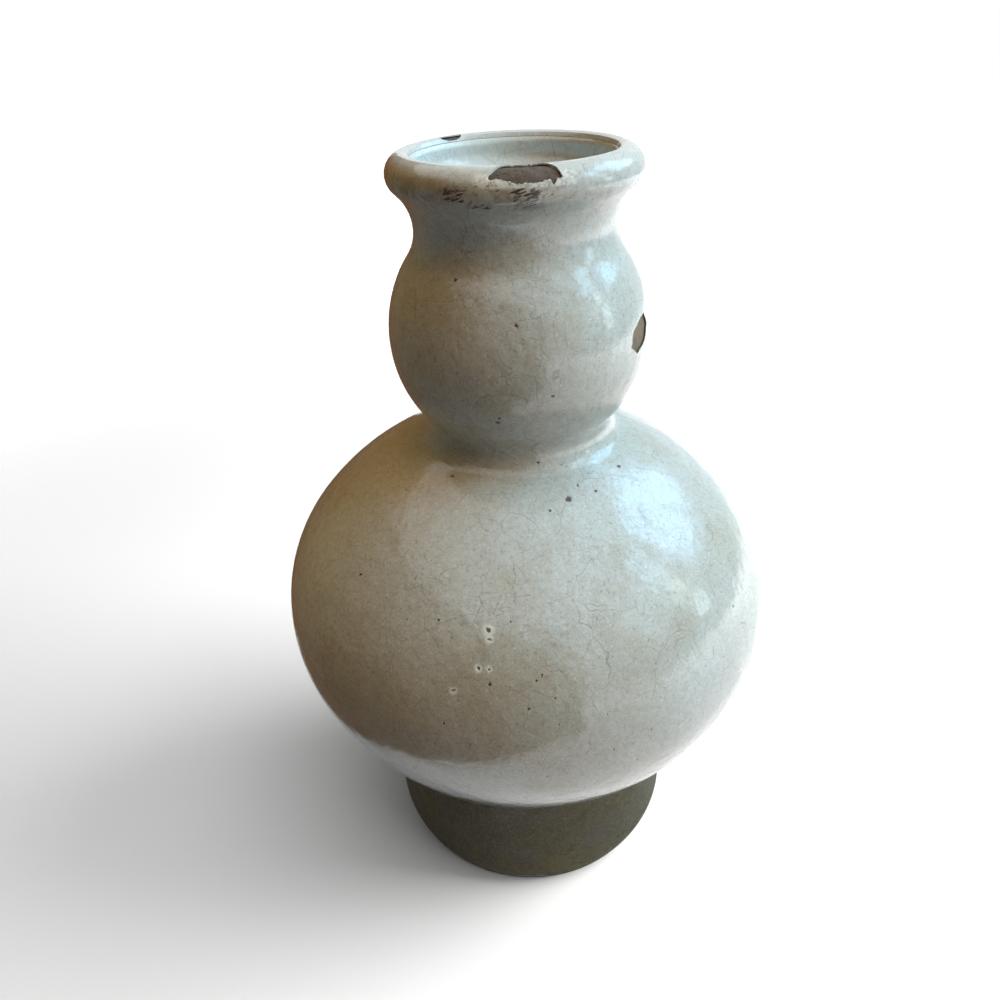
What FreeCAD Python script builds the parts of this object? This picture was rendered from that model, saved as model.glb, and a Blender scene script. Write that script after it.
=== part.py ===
import FreeCAD, Part
import math
import os

import Sketcher

# Gourd vase of glazed stoneware, in millimetres, +Z up.
# The origin is the centre of the circle that the foot stands on, and the front is towards -Y.
# The pot was thrown in five sections that are luted one on the other: the inner half of each
# section's wall hangs down as a tongue inside the section below. One coat of glaze wraps the
# outside from the foot up over the lip, and another lines the mouth and the upper bulb.

# Sizes that can each be changed by itself
SIZES = {
    # Lower bulb, over the glaze
    "belly_radius": 130,
    "belly_height": 166.5,
    "equator_reach": 49,
    "crown_flattening": 27,
    "base_flattening": 13,
    # Waist, upper bulb and neck, over the glaze
    "waist_radius": 44.5,
    "waist_round": 9.5,
    "bulb_radius": 60.5,
    "neck_radius": 45,
    "neck_round": 21,
    # Rolled lip
    "lip_overhang": 9.8,
    "lip_roll": 8.8,
    "edge_round": 2.9,
    # Bare foot
    "foot_radius": 84,
    "foot_wall": 9,
    "foot_tuck": 6,
    "foot_round": 33,
    "ring_width": 10,
    "ring_height": 5,
    "ring_bevel": 1.2,
    "floor_thickness": 11,
    "floor_round": 12,
    # Walls, coats and the tongues of the seams
    "clay_wall": 7,
    "glaze_coat": 1.2,
    "liner_coat": 1,
    "tongue_height": 4,
    # Chips in the glaze
    "rim_chip_width": 27,
    "rim_chip_depth": 6,
    "back_chip_width": 11.5,
    "back_chip_depth": 2.6,
    "bulb_chip_width": 20,
    "bulb_chip_height": 15.5,
    "bulb_chip_rise": 5.3,
}

# Lengths that follow from the sizes. The belly is a ball pressed flatter at both ends: its sides are
# an arc whose centre lies equator_reach from the axis, and each cap is an arc about a point on the
# axis that runs smoothly out of the sides. A cap would crest one belly radius, less its flattening,
# above or below the widest circle. Above the waist, each arc rests on the one before it.
WORKED = {
    "equator_arc": "Sizes.belly_radius - Sizes.equator_reach",
    "crown_excess": "Sizes.equator_reach - Sizes.crown_flattening",
    "crown_sink": "(Sizes.equator_reach^2 - crown_excess^2) / (2 * crown_excess)",
    "crown_arc": "equator_arc + crown_excess + crown_sink",
    "crown_centre": "Sizes.belly_height - crown_sink",
    "base_excess": "Sizes.equator_reach - Sizes.base_flattening",
    "base_lift": "(Sizes.equator_reach^2 - base_excess^2) / (2 * base_excess)",
    "base_arc": "equator_arc + base_excess + base_lift",
    "base_centre": "Sizes.belly_height + base_lift",
    "waist_reach": "Sizes.waist_radius + Sizes.waist_round",
    "waist_height": "crown_centre + sqrt((crown_arc + Sizes.waist_round)^2 - waist_reach^2)",
    "bulb_height": "waist_height + sqrt((Sizes.bulb_radius + Sizes.waist_round)^2 - waist_reach^2)",
    "neck_reach": "Sizes.neck_radius + Sizes.neck_round",
    "neck_height": "bulb_height + sqrt((Sizes.bulb_radius + Sizes.neck_round)^2 - neck_reach^2)",
    "lip_reach": "Sizes.neck_radius + Sizes.lip_overhang - Sizes.lip_roll",
    "lip_height": "neck_height + sqrt((Sizes.neck_round + Sizes.lip_roll)^2"
                  " - (neck_reach - lip_reach)^2)",
    "top_height": "lip_height + Sizes.lip_roll",
    "edge_height": "top_height - Sizes.edge_round",
    "mouth_radius": "lip_reach - Sizes.edge_round",
    # Depths of the clay's inner face and of the liner's face under the glaze, and of the seams
    "clay_depth": "Sizes.glaze_coat + Sizes.clay_wall",
    "liner_depth": "clay_depth + Sizes.liner_coat",
    "seam_depth": "Sizes.glaze_coat + Sizes.clay_wall / 2",
    # Bare foot
    "foot_height": "base_centre - sqrt((base_arc - Sizes.glaze_coat)^2 - Sizes.foot_radius^2)",
    "foot_reach": "Sizes.foot_radius - Sizes.foot_round",
    "foot_turn": "sqrt(Sizes.foot_round^2 - (Sizes.foot_round - Sizes.foot_tuck)^2)",
    "foot_seam": "Sizes.foot_radius - Sizes.foot_wall / 2",
    "bore_radius": "Sizes.foot_radius - Sizes.foot_wall",
    "bore_height": "base_centre - sqrt((base_arc - clay_depth)^2 - bore_radius^2)",
    "ring_inside": "Sizes.foot_radius - Sizes.foot_tuck - Sizes.ring_width",
    "floor_height": "Sizes.ring_height + Sizes.floor_thickness",
    # Throat, where the mouth's upright wall meets the hollow inside of the neck
    "clay_mouth": "mouth_radius + Sizes.glaze_coat",
    "clay_throat": "neck_height + sqrt((Sizes.neck_round + clay_depth)^2"
                   " - (neck_reach - clay_mouth)^2)",
    "liner_throat": "neck_height + sqrt((Sizes.neck_round + liner_depth)^2"
                    " - (neck_reach - mouth_radius)^2)",
    # Ends of the tongues
    "foot_tongue": "foot_height - Sizes.tongue_height",
    "belly_tongue": "Sizes.belly_height - Sizes.tongue_height",
    "waist_tongue": "waist_height - Sizes.tongue_height",
    "neck_tongue": "neck_height - Sizes.tongue_height",
    "bulb_chip_middle": "bulb_height + Sizes.bulb_chip_rise",
}

# The arcs of the vase's line from the foot to the mouth's edge, over the glaze: how far the centre
# lies from the axis, how high it lies, the radius, whether the wall swells or hollows there, and on
# which side of its centre the arc passes
ARCS = {
    "foot": ("Worked.foot_reach", "Worked.foot_turn", "Sizes.foot_round", "swells", "outside"),
    "base": ("0", "Worked.base_centre", "Worked.base_arc", "swells", "outside"),
    "equator": ("Sizes.equator_reach", "Sizes.belly_height", "Worked.equator_arc", "swells", "outside"),
    "crown": ("0", "Worked.crown_centre", "Worked.crown_arc", "swells", "outside"),
    "waist": ("Worked.waist_reach", "Worked.waist_height", "Sizes.waist_round", "hollows", "inside"),
    "bulb": ("0", "Worked.bulb_height", "Sizes.bulb_radius", "swells", "outside"),
    "neck": ("Worked.neck_reach", "Worked.neck_height", "Sizes.neck_round", "hollows", "inside"),
    "lip": ("Worked.lip_reach", "Worked.lip_height", "Sizes.lip_roll", "swells", "outside"),
    "edge": ("Worked.lip_reach", "Worked.edge_height", "Sizes.edge_round", "swells", "inside"),
}

# Each chip: degrees from the front towards the right, its width, its height, the level that its
# outline is measured from, and how far from the axis it reaches
CHIPS = {
    "rim_chip": (
        4, "Sizes.rim_chip_width", "Sizes.rim_chip_depth", "Worked.top_height", "Sizes.belly_radius"),
    "back_chip": (
        -141, "Sizes.back_chip_width", "Sizes.back_chip_depth", "Worked.top_height", "Worked.lip_reach"),
    "bulb_chip": (
        62, "Sizes.bulb_chip_width", "Sizes.bulb_chip_height", "Worked.bulb_chip_middle",
        "Sizes.belly_radius"),
}

# Each chip's outline, as shares of its width from its middle and of its height from its level
CHIP_SHARES = {
    "rim_chip": [
        (-0.50, 1.00), (-0.50, -0.56), (-0.43, -0.74), (-0.26, -0.68), (-0.08, -0.80), (0.12, -0.75),
        (0.29, -0.83), (0.33, -1.00), (0.38, -0.97), (0.42, -0.76), (0.50, -0.60), (0.50, 1.00),
    ],
    "back_chip": [
        (-0.50, 1.00), (-0.50, -0.72), (-0.16, -1.00), (0.22, -0.86), (0.50, -0.66), (0.50, 1.00),
    ],
    "bulb_chip": [
        (0.31, 0.50), (-0.04, 0.44), (-0.40, 0.22), (-0.50, -0.18),
        (-0.18, -0.50), (0.32, -0.32), (0.50, 0.14),
    ],
}

# How a constraint numbers the points of an edge, the lines through the origin and the origin
START, END, CENTRE = range(1, 4)
UPRIGHT_AXIS, LEVEL_AXIS = range(-2, 0)
ORIGIN = (LEVEL_AXIS, START)

# Loosest fit at which a point counts as lying on a plane
TOUCH = 1e-6

doc = FreeCAD.newDocument("GourdVase")


def fill_sheet(name, cells, sign=""):
    """A sheet with a named cell in each row."""
    sheet = doc.addObject("Spreadsheet::Sheet", name)
    for row, alias in enumerate(cells, start=1):
        sheet.set(f"A{row}", alias)
        sheet.setAlias(f"B{row}", alias)
    for row, content in enumerate(cells.values(), start=1):
        sheet.set(f"B{row}", f"{sign}{content}")
    doc.recompute()
    return sheet


fill_sheet("Sizes", SIZES)
worked = fill_sheet("Worked", WORKED, "=")


def value(expression):
    """What an expression over the two sheets comes to now."""
    return float(worked.evalExpression(expression))


def arc_centre(name):
    """The centre of one of the vase's arcs."""
    reach, height, *_ = ARCS[name]
    return FreeCAD.Vector(value(reach), value(height), 0)


def arc_radius(name, depth):
    """The radius of one of the vase's arcs at a depth under the glaze, as an expression."""
    _, _, radius, bend, _ = ARCS[name]
    return f"{radius} - {depth}" if bend == "swells" else f"{radius} + {depth}"


def point_on_arc(name, depth, height):
    """Where one of the vase's arcs passes a height, at a depth under the glaze."""
    centre = arc_centre(name)
    rise = value(height) - centre.y
    reach = math.sqrt(value(arc_radius(name, depth)) ** 2 - rise ** 2)
    if ARCS[name][-1] == "inside":
        reach = -reach
    return FreeCAD.Vector(centre.x + reach, value(height), 0)


def bend_radius(name):
    """The radius of one of the vase's arcs, less than 0 where the wall hollows."""
    radius = value(arc_radius(name, "0"))
    return radius if ARCS[name][3] == "swells" else -radius


def point_between(lower, upper, depth):
    """Where two arcs that follow each other meet, at a depth under the glaze."""
    outward = (arc_centre(upper) - arc_centre(lower)) / (bend_radius(lower) - bend_radius(upper))
    return arc_centre(lower) + outward * (bend_radius(lower) - value(depth))


class Outline:
    """A closed outline over distance from the axis and height, drawn edge after edge.

    Every edge is drawn where the sizes put it, and constraints then bind it to them.
    """

    def __init__(self, body, name):
        self.sketch = body.newObject("Sketcher::SketchObject", name)
        plane = next(feature for feature in body.Origin.OriginFeatures if feature.Role == "XZ_Plane")
        self.sketch.AttachmentSupport = (plane, [""])
        self.sketch.MapMode = "FlatFace"
        self.centres = {}
        self.first = None
        self.last = None
        self.point = None
        self.level_or_upright = None

    def tie(self, kind, *parts):
        """A constraint without a value."""
        self.sketch.addConstraint(Sketcher.Constraint(kind, *parts))

    def bind(self, kind, *parts, to):
        """A constraint whose value follows an expression."""
        number = self.sketch.addConstraint(Sketcher.Constraint(kind, *parts, value(to)))
        self.sketch.setExpression(f"Constraints[{number}]", to)

    def place(self, edge, end, reach=None, height=None):
        """Binds a point's distance from the axis, its height, or both."""
        if reach == "0":
            self.tie("PointOnObject", edge, end, UPRIGHT_AXIS)
        elif reach:
            self.bind("DistanceX", *ORIGIN, edge, end, to=reach)
        if height == "0":
            self.tie("PointOnObject", edge, end, LEVEL_AXIS)
        elif height:
            self.bind("DistanceY", *ORIGIN, edge, end, to=height)

    def follow(self, edge, end, kind="Coincident"):
        """Ties an end of a new edge to where the outline has come to."""
        if self.last is None:
            self.first = (edge, end)
        else:
            self.tie(kind, *self.last, edge, end)

    def corner(self, reach, height):
        """Begins the outline at a corner."""
        self.point = FreeCAD.Vector(value(reach), value(height), 0)
        self.begin = (reach, height)

    def line(self, target):
        """A straight edge to a point, held level or upright where that is asked."""
        edge = self.sketch.addGeometry(Part.LineSegment(self.point, target))
        self.follow(edge, START)
        if self.first == (edge, START):
            self.place(edge, START, *self.begin)
        if self.level_or_upright:
            self.tie(self.level_or_upright, edge)
        self.level_or_upright = None
        self.last = (edge, END)
        self.point = target
        return edge

    def level(self, reach=None):
        """A level edge out to a distance from the axis, or to the arcs that come next."""
        self.level_or_upright = "Horizontal"
        if reach:
            edge = self.line(FreeCAD.Vector(value(reach), self.point.y, 0))
            self.place(edge, END, reach=reach)

    def upright(self, height=None):
        """An upright edge to a height, or to the arcs that come next."""
        self.level_or_upright = "Vertical"
        if height:
            edge = self.line(FreeCAD.Vector(self.point.x, value(height), 0))
            self.place(edge, END, height=height)

    def curve(self, names, depth, start, stop, rising):
        """Arcs of the vase's line at a depth under the glaze, from one height to another."""
        names = names.split()
        targets = [
            point_between(*(pair if rising else reversed(pair)), depth)
            for pair in zip(names, names[1:])
        ]
        targets.append(point_on_arc(names[-1], depth, stop))
        beginning = point_on_arc(names[0], depth, start)
        if self.point:
            self.line(beginning)
        self.point = beginning
        for name, target in zip(names, targets):
            reach, height, _, bend, _ = ARCS[name]
            anticlockwise = (bend == "swells") == rising
            edge = self.sketch.addGeometry(self.arc(name, target, anticlockwise))
            near, far = (START, END) if anticlockwise else (END, START)
            self.follow(edge, near, "Coincident" if name == names[0] else "Tangent")
            if name in self.centres:
                self.tie("Coincident", edge, CENTRE, self.centres[name], CENTRE)
            else:
                self.place(edge, CENTRE, reach, height)
                self.centres[name] = edge
            if name == names[0]:
                self.bind("Radius", edge, to=arc_radius(name, depth))
                if self.first == (edge, near):
                    self.place(edge, near, height=start)
            self.last = (edge, far)
            self.point = target
        self.place(*self.last, height=stop)

    def rise(self, names, depth, start, stop):
        """Arcs of the vase's line, going up it."""
        self.curve(names, depth, start, stop, True)

    def fall(self, names, depth, start, stop):
        """Arcs of the vase's line, going down it."""
        self.curve(names, depth, start, stop, False)

    def arc(self, name, target, anticlockwise):
        """An arc about a named centre, from where the outline has come to, to a point."""
        centre = arc_centre(name)
        circle = Part.Circle(centre, FreeCAD.Vector(0, 0, 1), (self.point - centre).Length)
        begin, end = (math.atan2(p.y - centre.y, p.x - centre.x) for p in (self.point, target))
        if not anticlockwise:
            begin, end = end, begin
        return Part.ArcOfCircle(circle, begin, end if end > begin else end + math.tau)

    def close(self):
        """The last edge, back to where the outline began."""
        edge, end = self.first
        geometry = self.sketch.Geometry[edge]
        self.line(geometry.StartPoint if end == START else geometry.EndPoint)
        self.tie("Coincident", *self.last, edge, end)


def new_body(name):
    """An empty body for one piece of the vase."""
    body = doc.addObject("PartDesign::Body", f"{name}_body")
    body.Label = name
    return body


def turn_round(body, outline):
    """Turns an outline round the axis to make a piece."""
    revolution = body.newObject("PartDesign::Revolution", f"{body.Label}_turned")
    revolution.Profile = outline.sketch
    revolution.ReferenceAxis = (outline.sketch, ["V_Axis"])
    revolution.Angle = 360
    outline.sketch.Visibility = False
    doc.recompute()
    return revolution


def circles_at(shape, height, reach):
    """Names of the circular edges about the axis at a height, no nearer to it than a distance."""
    return [
        f"Edge{number}" for number, edge in enumerate(shape.Edges, start=1)
        if abs(edge.BoundBox.ZMin - height) < TOUCH and abs(edge.BoundBox.ZMax - height) < TOUCH
        and edge.BoundBox.XMax > reach - TOUCH
    ]


# Foot: bare clay, with the ring it stands on, its recessed underside and the inside floor
foot = new_body("foot")
outline = Outline(foot, "foot_outline")
outline.corner("Sizes.foot_radius", "Worked.foot_height")
outline.level("Worked.foot_seam")
outline.upright("Worked.foot_tongue")
outline.level("Worked.bore_radius")
outline.upright("Worked.floor_height")
outline.level("0")
outline.upright("Sizes.ring_height")
outline.level("Worked.ring_inside")
outline.upright("0")
outline.level()
outline.rise("foot", "0", "0", "Worked.foot_turn")
outline.close()
turned = turn_round(foot, outline)

floor_fillet = foot.newObject("PartDesign::Fillet", "floor_fillet")
floor_fillet.Base = (turned, circles_at(turned.Shape, value("Worked.floor_height"), 0))
floor_fillet.setExpression("Radius", "Sizes.floor_round")
doc.recompute()

ring_chamfer = foot.newObject("PartDesign::Chamfer", "ring_chamfer")
ring_chamfer.Base = (floor_fillet, circles_at(floor_fillet.Shape, 0, value("Worked.ring_inside")))
ring_chamfer.setExpression("Size", "Sizes.ring_bevel")
doc.recompute()

# Lower bowl: from the foot to the widest circle
lower_bowl = new_body("lower_bowl")
outline = Outline(lower_bowl, "lower_bowl_outline")
outline.rise("base equator", "Sizes.glaze_coat", "Worked.foot_height", "Sizes.belly_height")
outline.level("Sizes.belly_radius - Worked.seam_depth")
outline.upright("Worked.belly_tongue")
outline.level()
outline.fall("equator base", "Worked.clay_depth", "Worked.belly_tongue", "Worked.bore_height")
outline.upright("Worked.foot_tongue")
outline.level("Worked.foot_seam")
outline.upright("Worked.foot_height")
outline.close()
turn_round(lower_bowl, outline)

# Shoulder: from the widest circle to the waist
shoulder = new_body("shoulder")
outline = Outline(shoulder, "shoulder_outline")
outline.rise("equator crown waist", "Sizes.glaze_coat", "Sizes.belly_height", "Worked.waist_height")
outline.level("Sizes.waist_radius - Worked.seam_depth")
outline.upright("Worked.waist_tongue")
outline.level()
outline.fall("waist crown equator", "Worked.clay_depth", "Worked.waist_tongue", "Worked.belly_tongue")
outline.level("Sizes.belly_radius - Worked.seam_depth")
outline.upright("Sizes.belly_height")
outline.close()
turn_round(shoulder, outline)

# Upper bulb: from the waist to the narrowest part of the neck
upper_bulb = new_body("upper_bulb")
outline = Outline(upper_bulb, "upper_bulb_outline")
outline.rise("waist bulb neck", "Sizes.glaze_coat", "Worked.waist_height", "Worked.neck_height")
outline.level("Sizes.neck_radius - Worked.seam_depth")
outline.upright("Worked.neck_tongue")
outline.level()
outline.fall("neck bulb waist", "Worked.clay_depth", "Worked.neck_tongue", "Worked.waist_tongue")
outline.level("Sizes.waist_radius - Worked.seam_depth")
outline.upright("Worked.waist_height")
outline.close()
turn_round(upper_bulb, outline)

# Mouth rim: the neck's flare, the rolled lip and the mouth's upright wall
mouth_rim = new_body("mouth_rim")
outline = Outline(mouth_rim, "mouth_rim_outline")
outline.rise("neck lip edge", "Sizes.glaze_coat", "Worked.neck_height", "Worked.edge_height")
outline.upright()
outline.fall("neck", "Worked.clay_depth", "Worked.clay_throat", "Worked.neck_tongue")
outline.level("Sizes.neck_radius - Worked.seam_depth")
outline.upright("Worked.neck_height")
outline.close()
turn_round(mouth_rim, outline)

# Outer glaze: an even coat that ends in a thick edge above the bare foot
outer_glaze = new_body("outer_glaze")
outline = Outline(outer_glaze, "outer_glaze_outline")
outline.rise("base equator crown waist bulb neck lip edge", "0", "Worked.foot_height", "Worked.edge_height")
outline.level()
outline.fall("edge lip neck bulb waist crown equator base", "Sizes.glaze_coat",
             "Worked.edge_height", "Worked.foot_height")
outline.close()
turn_round(outer_glaze, outline)

# Liner glaze: the coat inside the mouth, the neck and the upper bulb
liner_glaze = new_body("liner_glaze")
outline = Outline(liner_glaze, "liner_glaze_outline")
outline.corner("Worked.mouth_radius", "Worked.edge_height")
outline.level("Worked.clay_mouth")
outline.upright()
outline.fall("neck bulb waist", "Worked.clay_depth", "Worked.clay_throat", "Worked.waist_height")
outline.level()
outline.rise("waist bulb neck", "Worked.liner_depth", "Worked.waist_height", "Worked.liner_throat")
outline.close()
turn_round(liner_glaze, outline)

# Chips, each cut outward from the axis through the glaze on one side
for name, (turn, width, height, level, reach) in CHIPS.items():
    whole = outer_glaze.Shape.Volume
    outline = Outline(outer_glaze, f"{name}_outline")
    about_axis = FreeCAD.Rotation(FreeCAD.Vector(0, 1, 0), turn)
    outline.sketch.AttachmentOffset = FreeCAD.Placement(FreeCAD.Vector(0, 0, 0), about_axis)
    corners = [
        (f"{width} * {across}", f"{level} + {height} * {up}") for across, up in CHIP_SHARES[name]
    ]
    outline.corner(*corners[0])
    for across, up in corners[1:]:
        edge = outline.line(FreeCAD.Vector(value(across), value(up), 0))
        outline.place(edge, END, across, up)
    outline.close()
    pocket = outer_glaze.newObject("PartDesign::Pocket", name)
    pocket.Profile = outline.sketch
    pocket.setExpression("Length", reach)
    pocket.Reversed = True
    outline.sketch.Visibility = False
    doc.recompute()
    if outer_glaze.Shape.Volume >= whole:
        raise RuntimeError(f"{name} cuts nothing")

# The pieces, checked and written
doc.recompute()
faulty = [thing.Name for thing in doc.Objects if {"Invalid", "Error"} & set(thing.State)]
if faulty:
    raise RuntimeError(f"not computed: {', '.join(faulty)}")

os.makedirs("parts", exist_ok=True)
for piece in (foot, lower_bowl, shoulder, upper_bulb, mouth_rim, outer_glaze, liner_glaze):
    if piece.Shape.isNull() or not piece.Shape.isValid():
        raise RuntimeError(f"{piece.Label} has no valid shape")
    piece.Shape.exportStep(f"parts/{piece.Label}.step")
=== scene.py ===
import math

import bmesh
import bpy
from mathutils import Matrix, Vector, noise


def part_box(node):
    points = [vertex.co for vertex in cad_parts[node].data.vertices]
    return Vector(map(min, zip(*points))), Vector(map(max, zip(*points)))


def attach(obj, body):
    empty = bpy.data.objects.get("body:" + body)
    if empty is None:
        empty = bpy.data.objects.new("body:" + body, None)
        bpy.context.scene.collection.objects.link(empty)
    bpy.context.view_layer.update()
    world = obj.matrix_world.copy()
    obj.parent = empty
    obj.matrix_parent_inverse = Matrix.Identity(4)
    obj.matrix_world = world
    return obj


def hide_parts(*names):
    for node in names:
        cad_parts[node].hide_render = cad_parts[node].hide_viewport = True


# Gourd vase of crackle-glazed stoneware, in metres, +Z up, with the front towards -Y.
# Every turned piece follows the line that the pot was thrown to, at some depth under the glaze.

bl_info = {
    "name": "Gourd vase",
    "version": (1, 0, 0),
    "blender": (4, 5, 0),
    "location": "View3D > Sidebar > Gourd vase",
    "description": "Dresses the gourd vase in crackle glaze and bare clay",
    "category": "Object",
}

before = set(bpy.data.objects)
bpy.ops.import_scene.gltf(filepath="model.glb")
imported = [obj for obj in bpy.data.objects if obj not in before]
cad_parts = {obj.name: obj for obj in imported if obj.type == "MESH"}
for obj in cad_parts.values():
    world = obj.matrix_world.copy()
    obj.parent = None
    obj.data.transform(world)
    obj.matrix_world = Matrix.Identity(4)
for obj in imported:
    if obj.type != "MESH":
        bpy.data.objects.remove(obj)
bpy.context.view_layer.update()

GLAZE_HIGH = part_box("outer_glaze")[1]
FOOT_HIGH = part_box("foot")[1]


def length(name, description, default):
    """A length that a user can set, in metres."""
    return bpy.props.FloatProperty(name=name, description=description, default=default, unit="LENGTH")


def number(name, description, default):
    """A plain number that a user can set."""
    return bpy.props.FloatProperty(name=name, description=description, default=default)


def count(name, description, default):
    """A whole number that a user can set."""
    return bpy.props.IntProperty(name=name, description=description, default=default, min=3)


def colour(name, description, default):
    """A colour that a user can set, in linear light."""
    return bpy.props.FloatVectorProperty(
        name=name, description=description, default=default, size=3, subtype="COLOR", min=0, max=1)


class VaseShape(bpy.types.PropertyGroup):
    """The line that the vase is turned to, over the glaze."""

    belly_radius: length("Belly radius", "Widest circle of the lower bulb", GLAZE_HIGH.x)
    belly_height: length("Belly height", "Height of the widest circle", 0.1665)
    equator_reach: length("Equator reach", "How far the sides' centre stands from the axis", 0.049)
    crown_flattening: length("Crown flattening", "How much lower than a ball the belly is above", 0.027)
    base_flattening: length("Base flattening", "How much shorter than a ball the belly is below", 0.013)
    waist_radius: length("Waist radius", "Narrowest circle between the bulbs", 0.0445)
    waist_round: length("Waist round", "Radius of the hollow at the waist", 0.0095)
    bulb_radius: length("Bulb radius", "Radius of the upper bulb", 0.0605)
    neck_radius: length("Neck radius", "Narrowest circle under the lip", 0.045)
    neck_round: length("Neck round", "Radius of the hollow of the neck", 0.021)
    lip_overhang: length("Lip overhang", "How far the lip stands out past the neck", 0.0098)
    lip_roll: length("Lip roll", "Radius of the rolled lip's outer side", 0.0088)
    edge_round: length("Edge round", "Radius of the mouth's inner edge", 0.0029)
    glaze_coat: length("Glaze coat", "Thickness of the outer glaze", 0.0012)
    clay_wall: length("Clay wall", "Thickness of the clay", 0.007)
    liner_coat: length("Liner coat", "Thickness of the glaze inside", 0.001)
    foot_radius: length("Foot radius", "Radius of the bare foot where the glaze ends", FOOT_HIGH.x)
    foot_round: length("Foot round", "Radius of the foot's rounded lower side", 0.033)
    foot_tuck: length("Foot tuck", "How far the foot draws in at the floor", 0.006)
    ring_width: length("Ring width", "Width of the ring that the foot stands on", 0.010)
    ring_height: length("Ring height", "Depth of the recess inside that ring", 0.005)
    ring_bevel: length("Ring bevel", "Worn corner of that ring", 0.0012)
    foot_wall: length("Foot wall", "Thickness of the foot's wall", 0.009)
    floor_thickness: length("Floor thickness", "Thickness of the vase's floor", 0.011)
    floor_round: length("Floor round", "Radius where the floor meets the wall inside", 0.012)


class VaseMesh(bpy.types.PropertyGroup):
    """How finely the pieces are turned."""

    skin_segments: count("Skin segments", "Steps round the axis on the outer glaze", 352)
    segments: count("Segments", "Steps round the axis on the other pieces", 256)
    skin_step: length("Skin step", "Longest step along the outer glaze's line", 0.0026)
    step: length("Step", "Longest step along the other lines", 0.003)
    wobble: length("Wobble", "How far the hand-thrown walls dip under the true line", 0.0007)
    wobble_span: length("Wobble span", "Distance over which a wall dips and rises", 0.055)


class VaseColours(bpy.types.PropertyGroup):
    """Colours of the glaze and the clay."""

    glaze: colour("Glaze", "Main colour of the glaze", (0.50, 0.495, 0.45))
    # The pale glaze also paints light on the lip's top.
    glaze_pale: colour("Pale glaze", "Where the glaze lies thick", (0.57, 0.58, 0.555))
    # The fawn glaze also paints warm shade under the lip, heavier on the left.
    glaze_fawn: colour("Fawn glaze", "Where the clay's iron shows through", (0.40, 0.335, 0.24))
    # The crackle colour also paints shade under the lip's roll.
    crackle: colour("Crackle", "Lines of the crackle", (0.17, 0.14, 0.11))
    clay: colour("Clay", "Fired clay of the foot", (0.052, 0.043, 0.022))
    clay_light: colour("Light clay", "Specks and worn edges of the clay", (0.20, 0.175, 0.095))
    chip_light: colour("Chip specks", "Grains of the clay in the chips", (0.15, 0.12, 0.095))
    chip: colour("Chip", "Clay laid bare in a chip", (0.085, 0.060, 0.045))
    # Painted light: the bulb's chip is the rim chip's clay painted lighter to make up for the light that
    # reaches it less.
    bulb_chip: colour("Bulb chip", "Clay of the bulb's chip, which light reaches less", (0.21, 0.135, 0.082))
    stain: colour("Stain", "Old dirt below the chips", (0.035, 0.020, 0.012))


class VaseChips(bpy.types.PropertyGroup):
    """Where the glaze is chipped, in degrees from the front towards the right, and how far."""

    rim_chip_turn: number("Rim chip turn", "Turn of the chip at the front of the lip", 4.3)
    rim_chip_width: length("Rim chip width", "Width of the chip at the front of the lip", 0.0292)
    rim_chip_depth: length("Rim chip depth", "How far that chip reaches down from the top", 0.006)
    back_chip_turn: number("Back chip turn", "Turn of the chip on the mouth's inner edge", -141)
    back_chip_width: length("Back chip width", "Width of the chip on the mouth's inner edge", 0.0115)
    back_chip_depth: length("Back chip depth", "How far that chip reaches down", 0.0026)
    bulb_chip_turn: number("Bulb chip turn", "Turn of the chip on the upper bulb", 62)
    bulb_chip_width: length("Bulb chip width", "Width of the chip on the upper bulb", 0.020)
    bulb_chip_height: length("Bulb chip height", "Height of that chip", 0.0155)
    bulb_chip_rise: length("Bulb chip rise", "How far its middle lies above the bulb's widest circle", 0.0053)
    chip_jag: length("Chip jag", "How far a chip's edge wanders", 0.0007)
    chip_spread: length("Chip spread", "Distance between the corners of a chip's edge", 0.0011)
    clay_roughness: length("Clay roughness", "How deep the clay is broken in a chip", 0.0006)
    clay_grain: length("Clay grain", "Size of the lumps of broken clay", 0.0025)
    streak_size: length("Streak size", "Width of the dark scratches by the chip", 0.0011)
    streak_slant: number("Streak slant", "Degrees that the scratches climb to the right", 20)
    streak_stretch: number("Streak stretch", "How much longer than wide a scratch is", 4.5)


# Outline of the upper bulb's chip, as shares of its width from its middle and of its height
BULB_CHIP_SHARES = [
    (0.31, 0.50), (-0.04, 0.44), (-0.40, 0.22), (-0.50, -0.18), (-0.18, -0.50), (0.32, -0.32),
    (0.50, 0.14),
]

# Rings of that chip's cutter: depth in coats of glaze, and size
BULB_CHIP_RINGS = [(3, 0.86), (-2, 1.08)]

# The chips at the mouth: shares of the width from the middle, and of the depth that is cut there
RIM_CHIP_FLOOR_SHARES = [
    (-0.50, 0.62), (-0.44, 0.76), (-0.36, 0.68), (-0.27, 0.72), (-0.18, 0.86), (-0.06, 0.98),
    (0.06, 0.92), (0.16, 0.96), (0.24, 0.80), (0.30, 0.84), (0.325, 1.14), (0.36, 1.10), (0.375, 0.78),
    (0.44, 0.74), (0.50, 0.60),
]
BACK_CHIP_FLOOR_SHARES = [(-0.50, 0.35), (-0.20, 0.95), (0.20, 0.85), (0.50, 0.35)]

# Streaks below the lip: turn and half width in degrees, how far below the top they begin and end,
# and how dense they are
STREAKS = [
    (-24.5, 9, 0.0126, 0.0066, 1.0), (-15, 10, 0.0152, 0.0116, 0.85), (-13, 7, 0.0082, 0.0050, 0.85),
    (-3, 9, 0.0090, 0.0058, 0.7), (5, 11, 0.0154, 0.0064, 1.0), (18, 15, 0.0130, 0.0086, 0.65),
]

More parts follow.
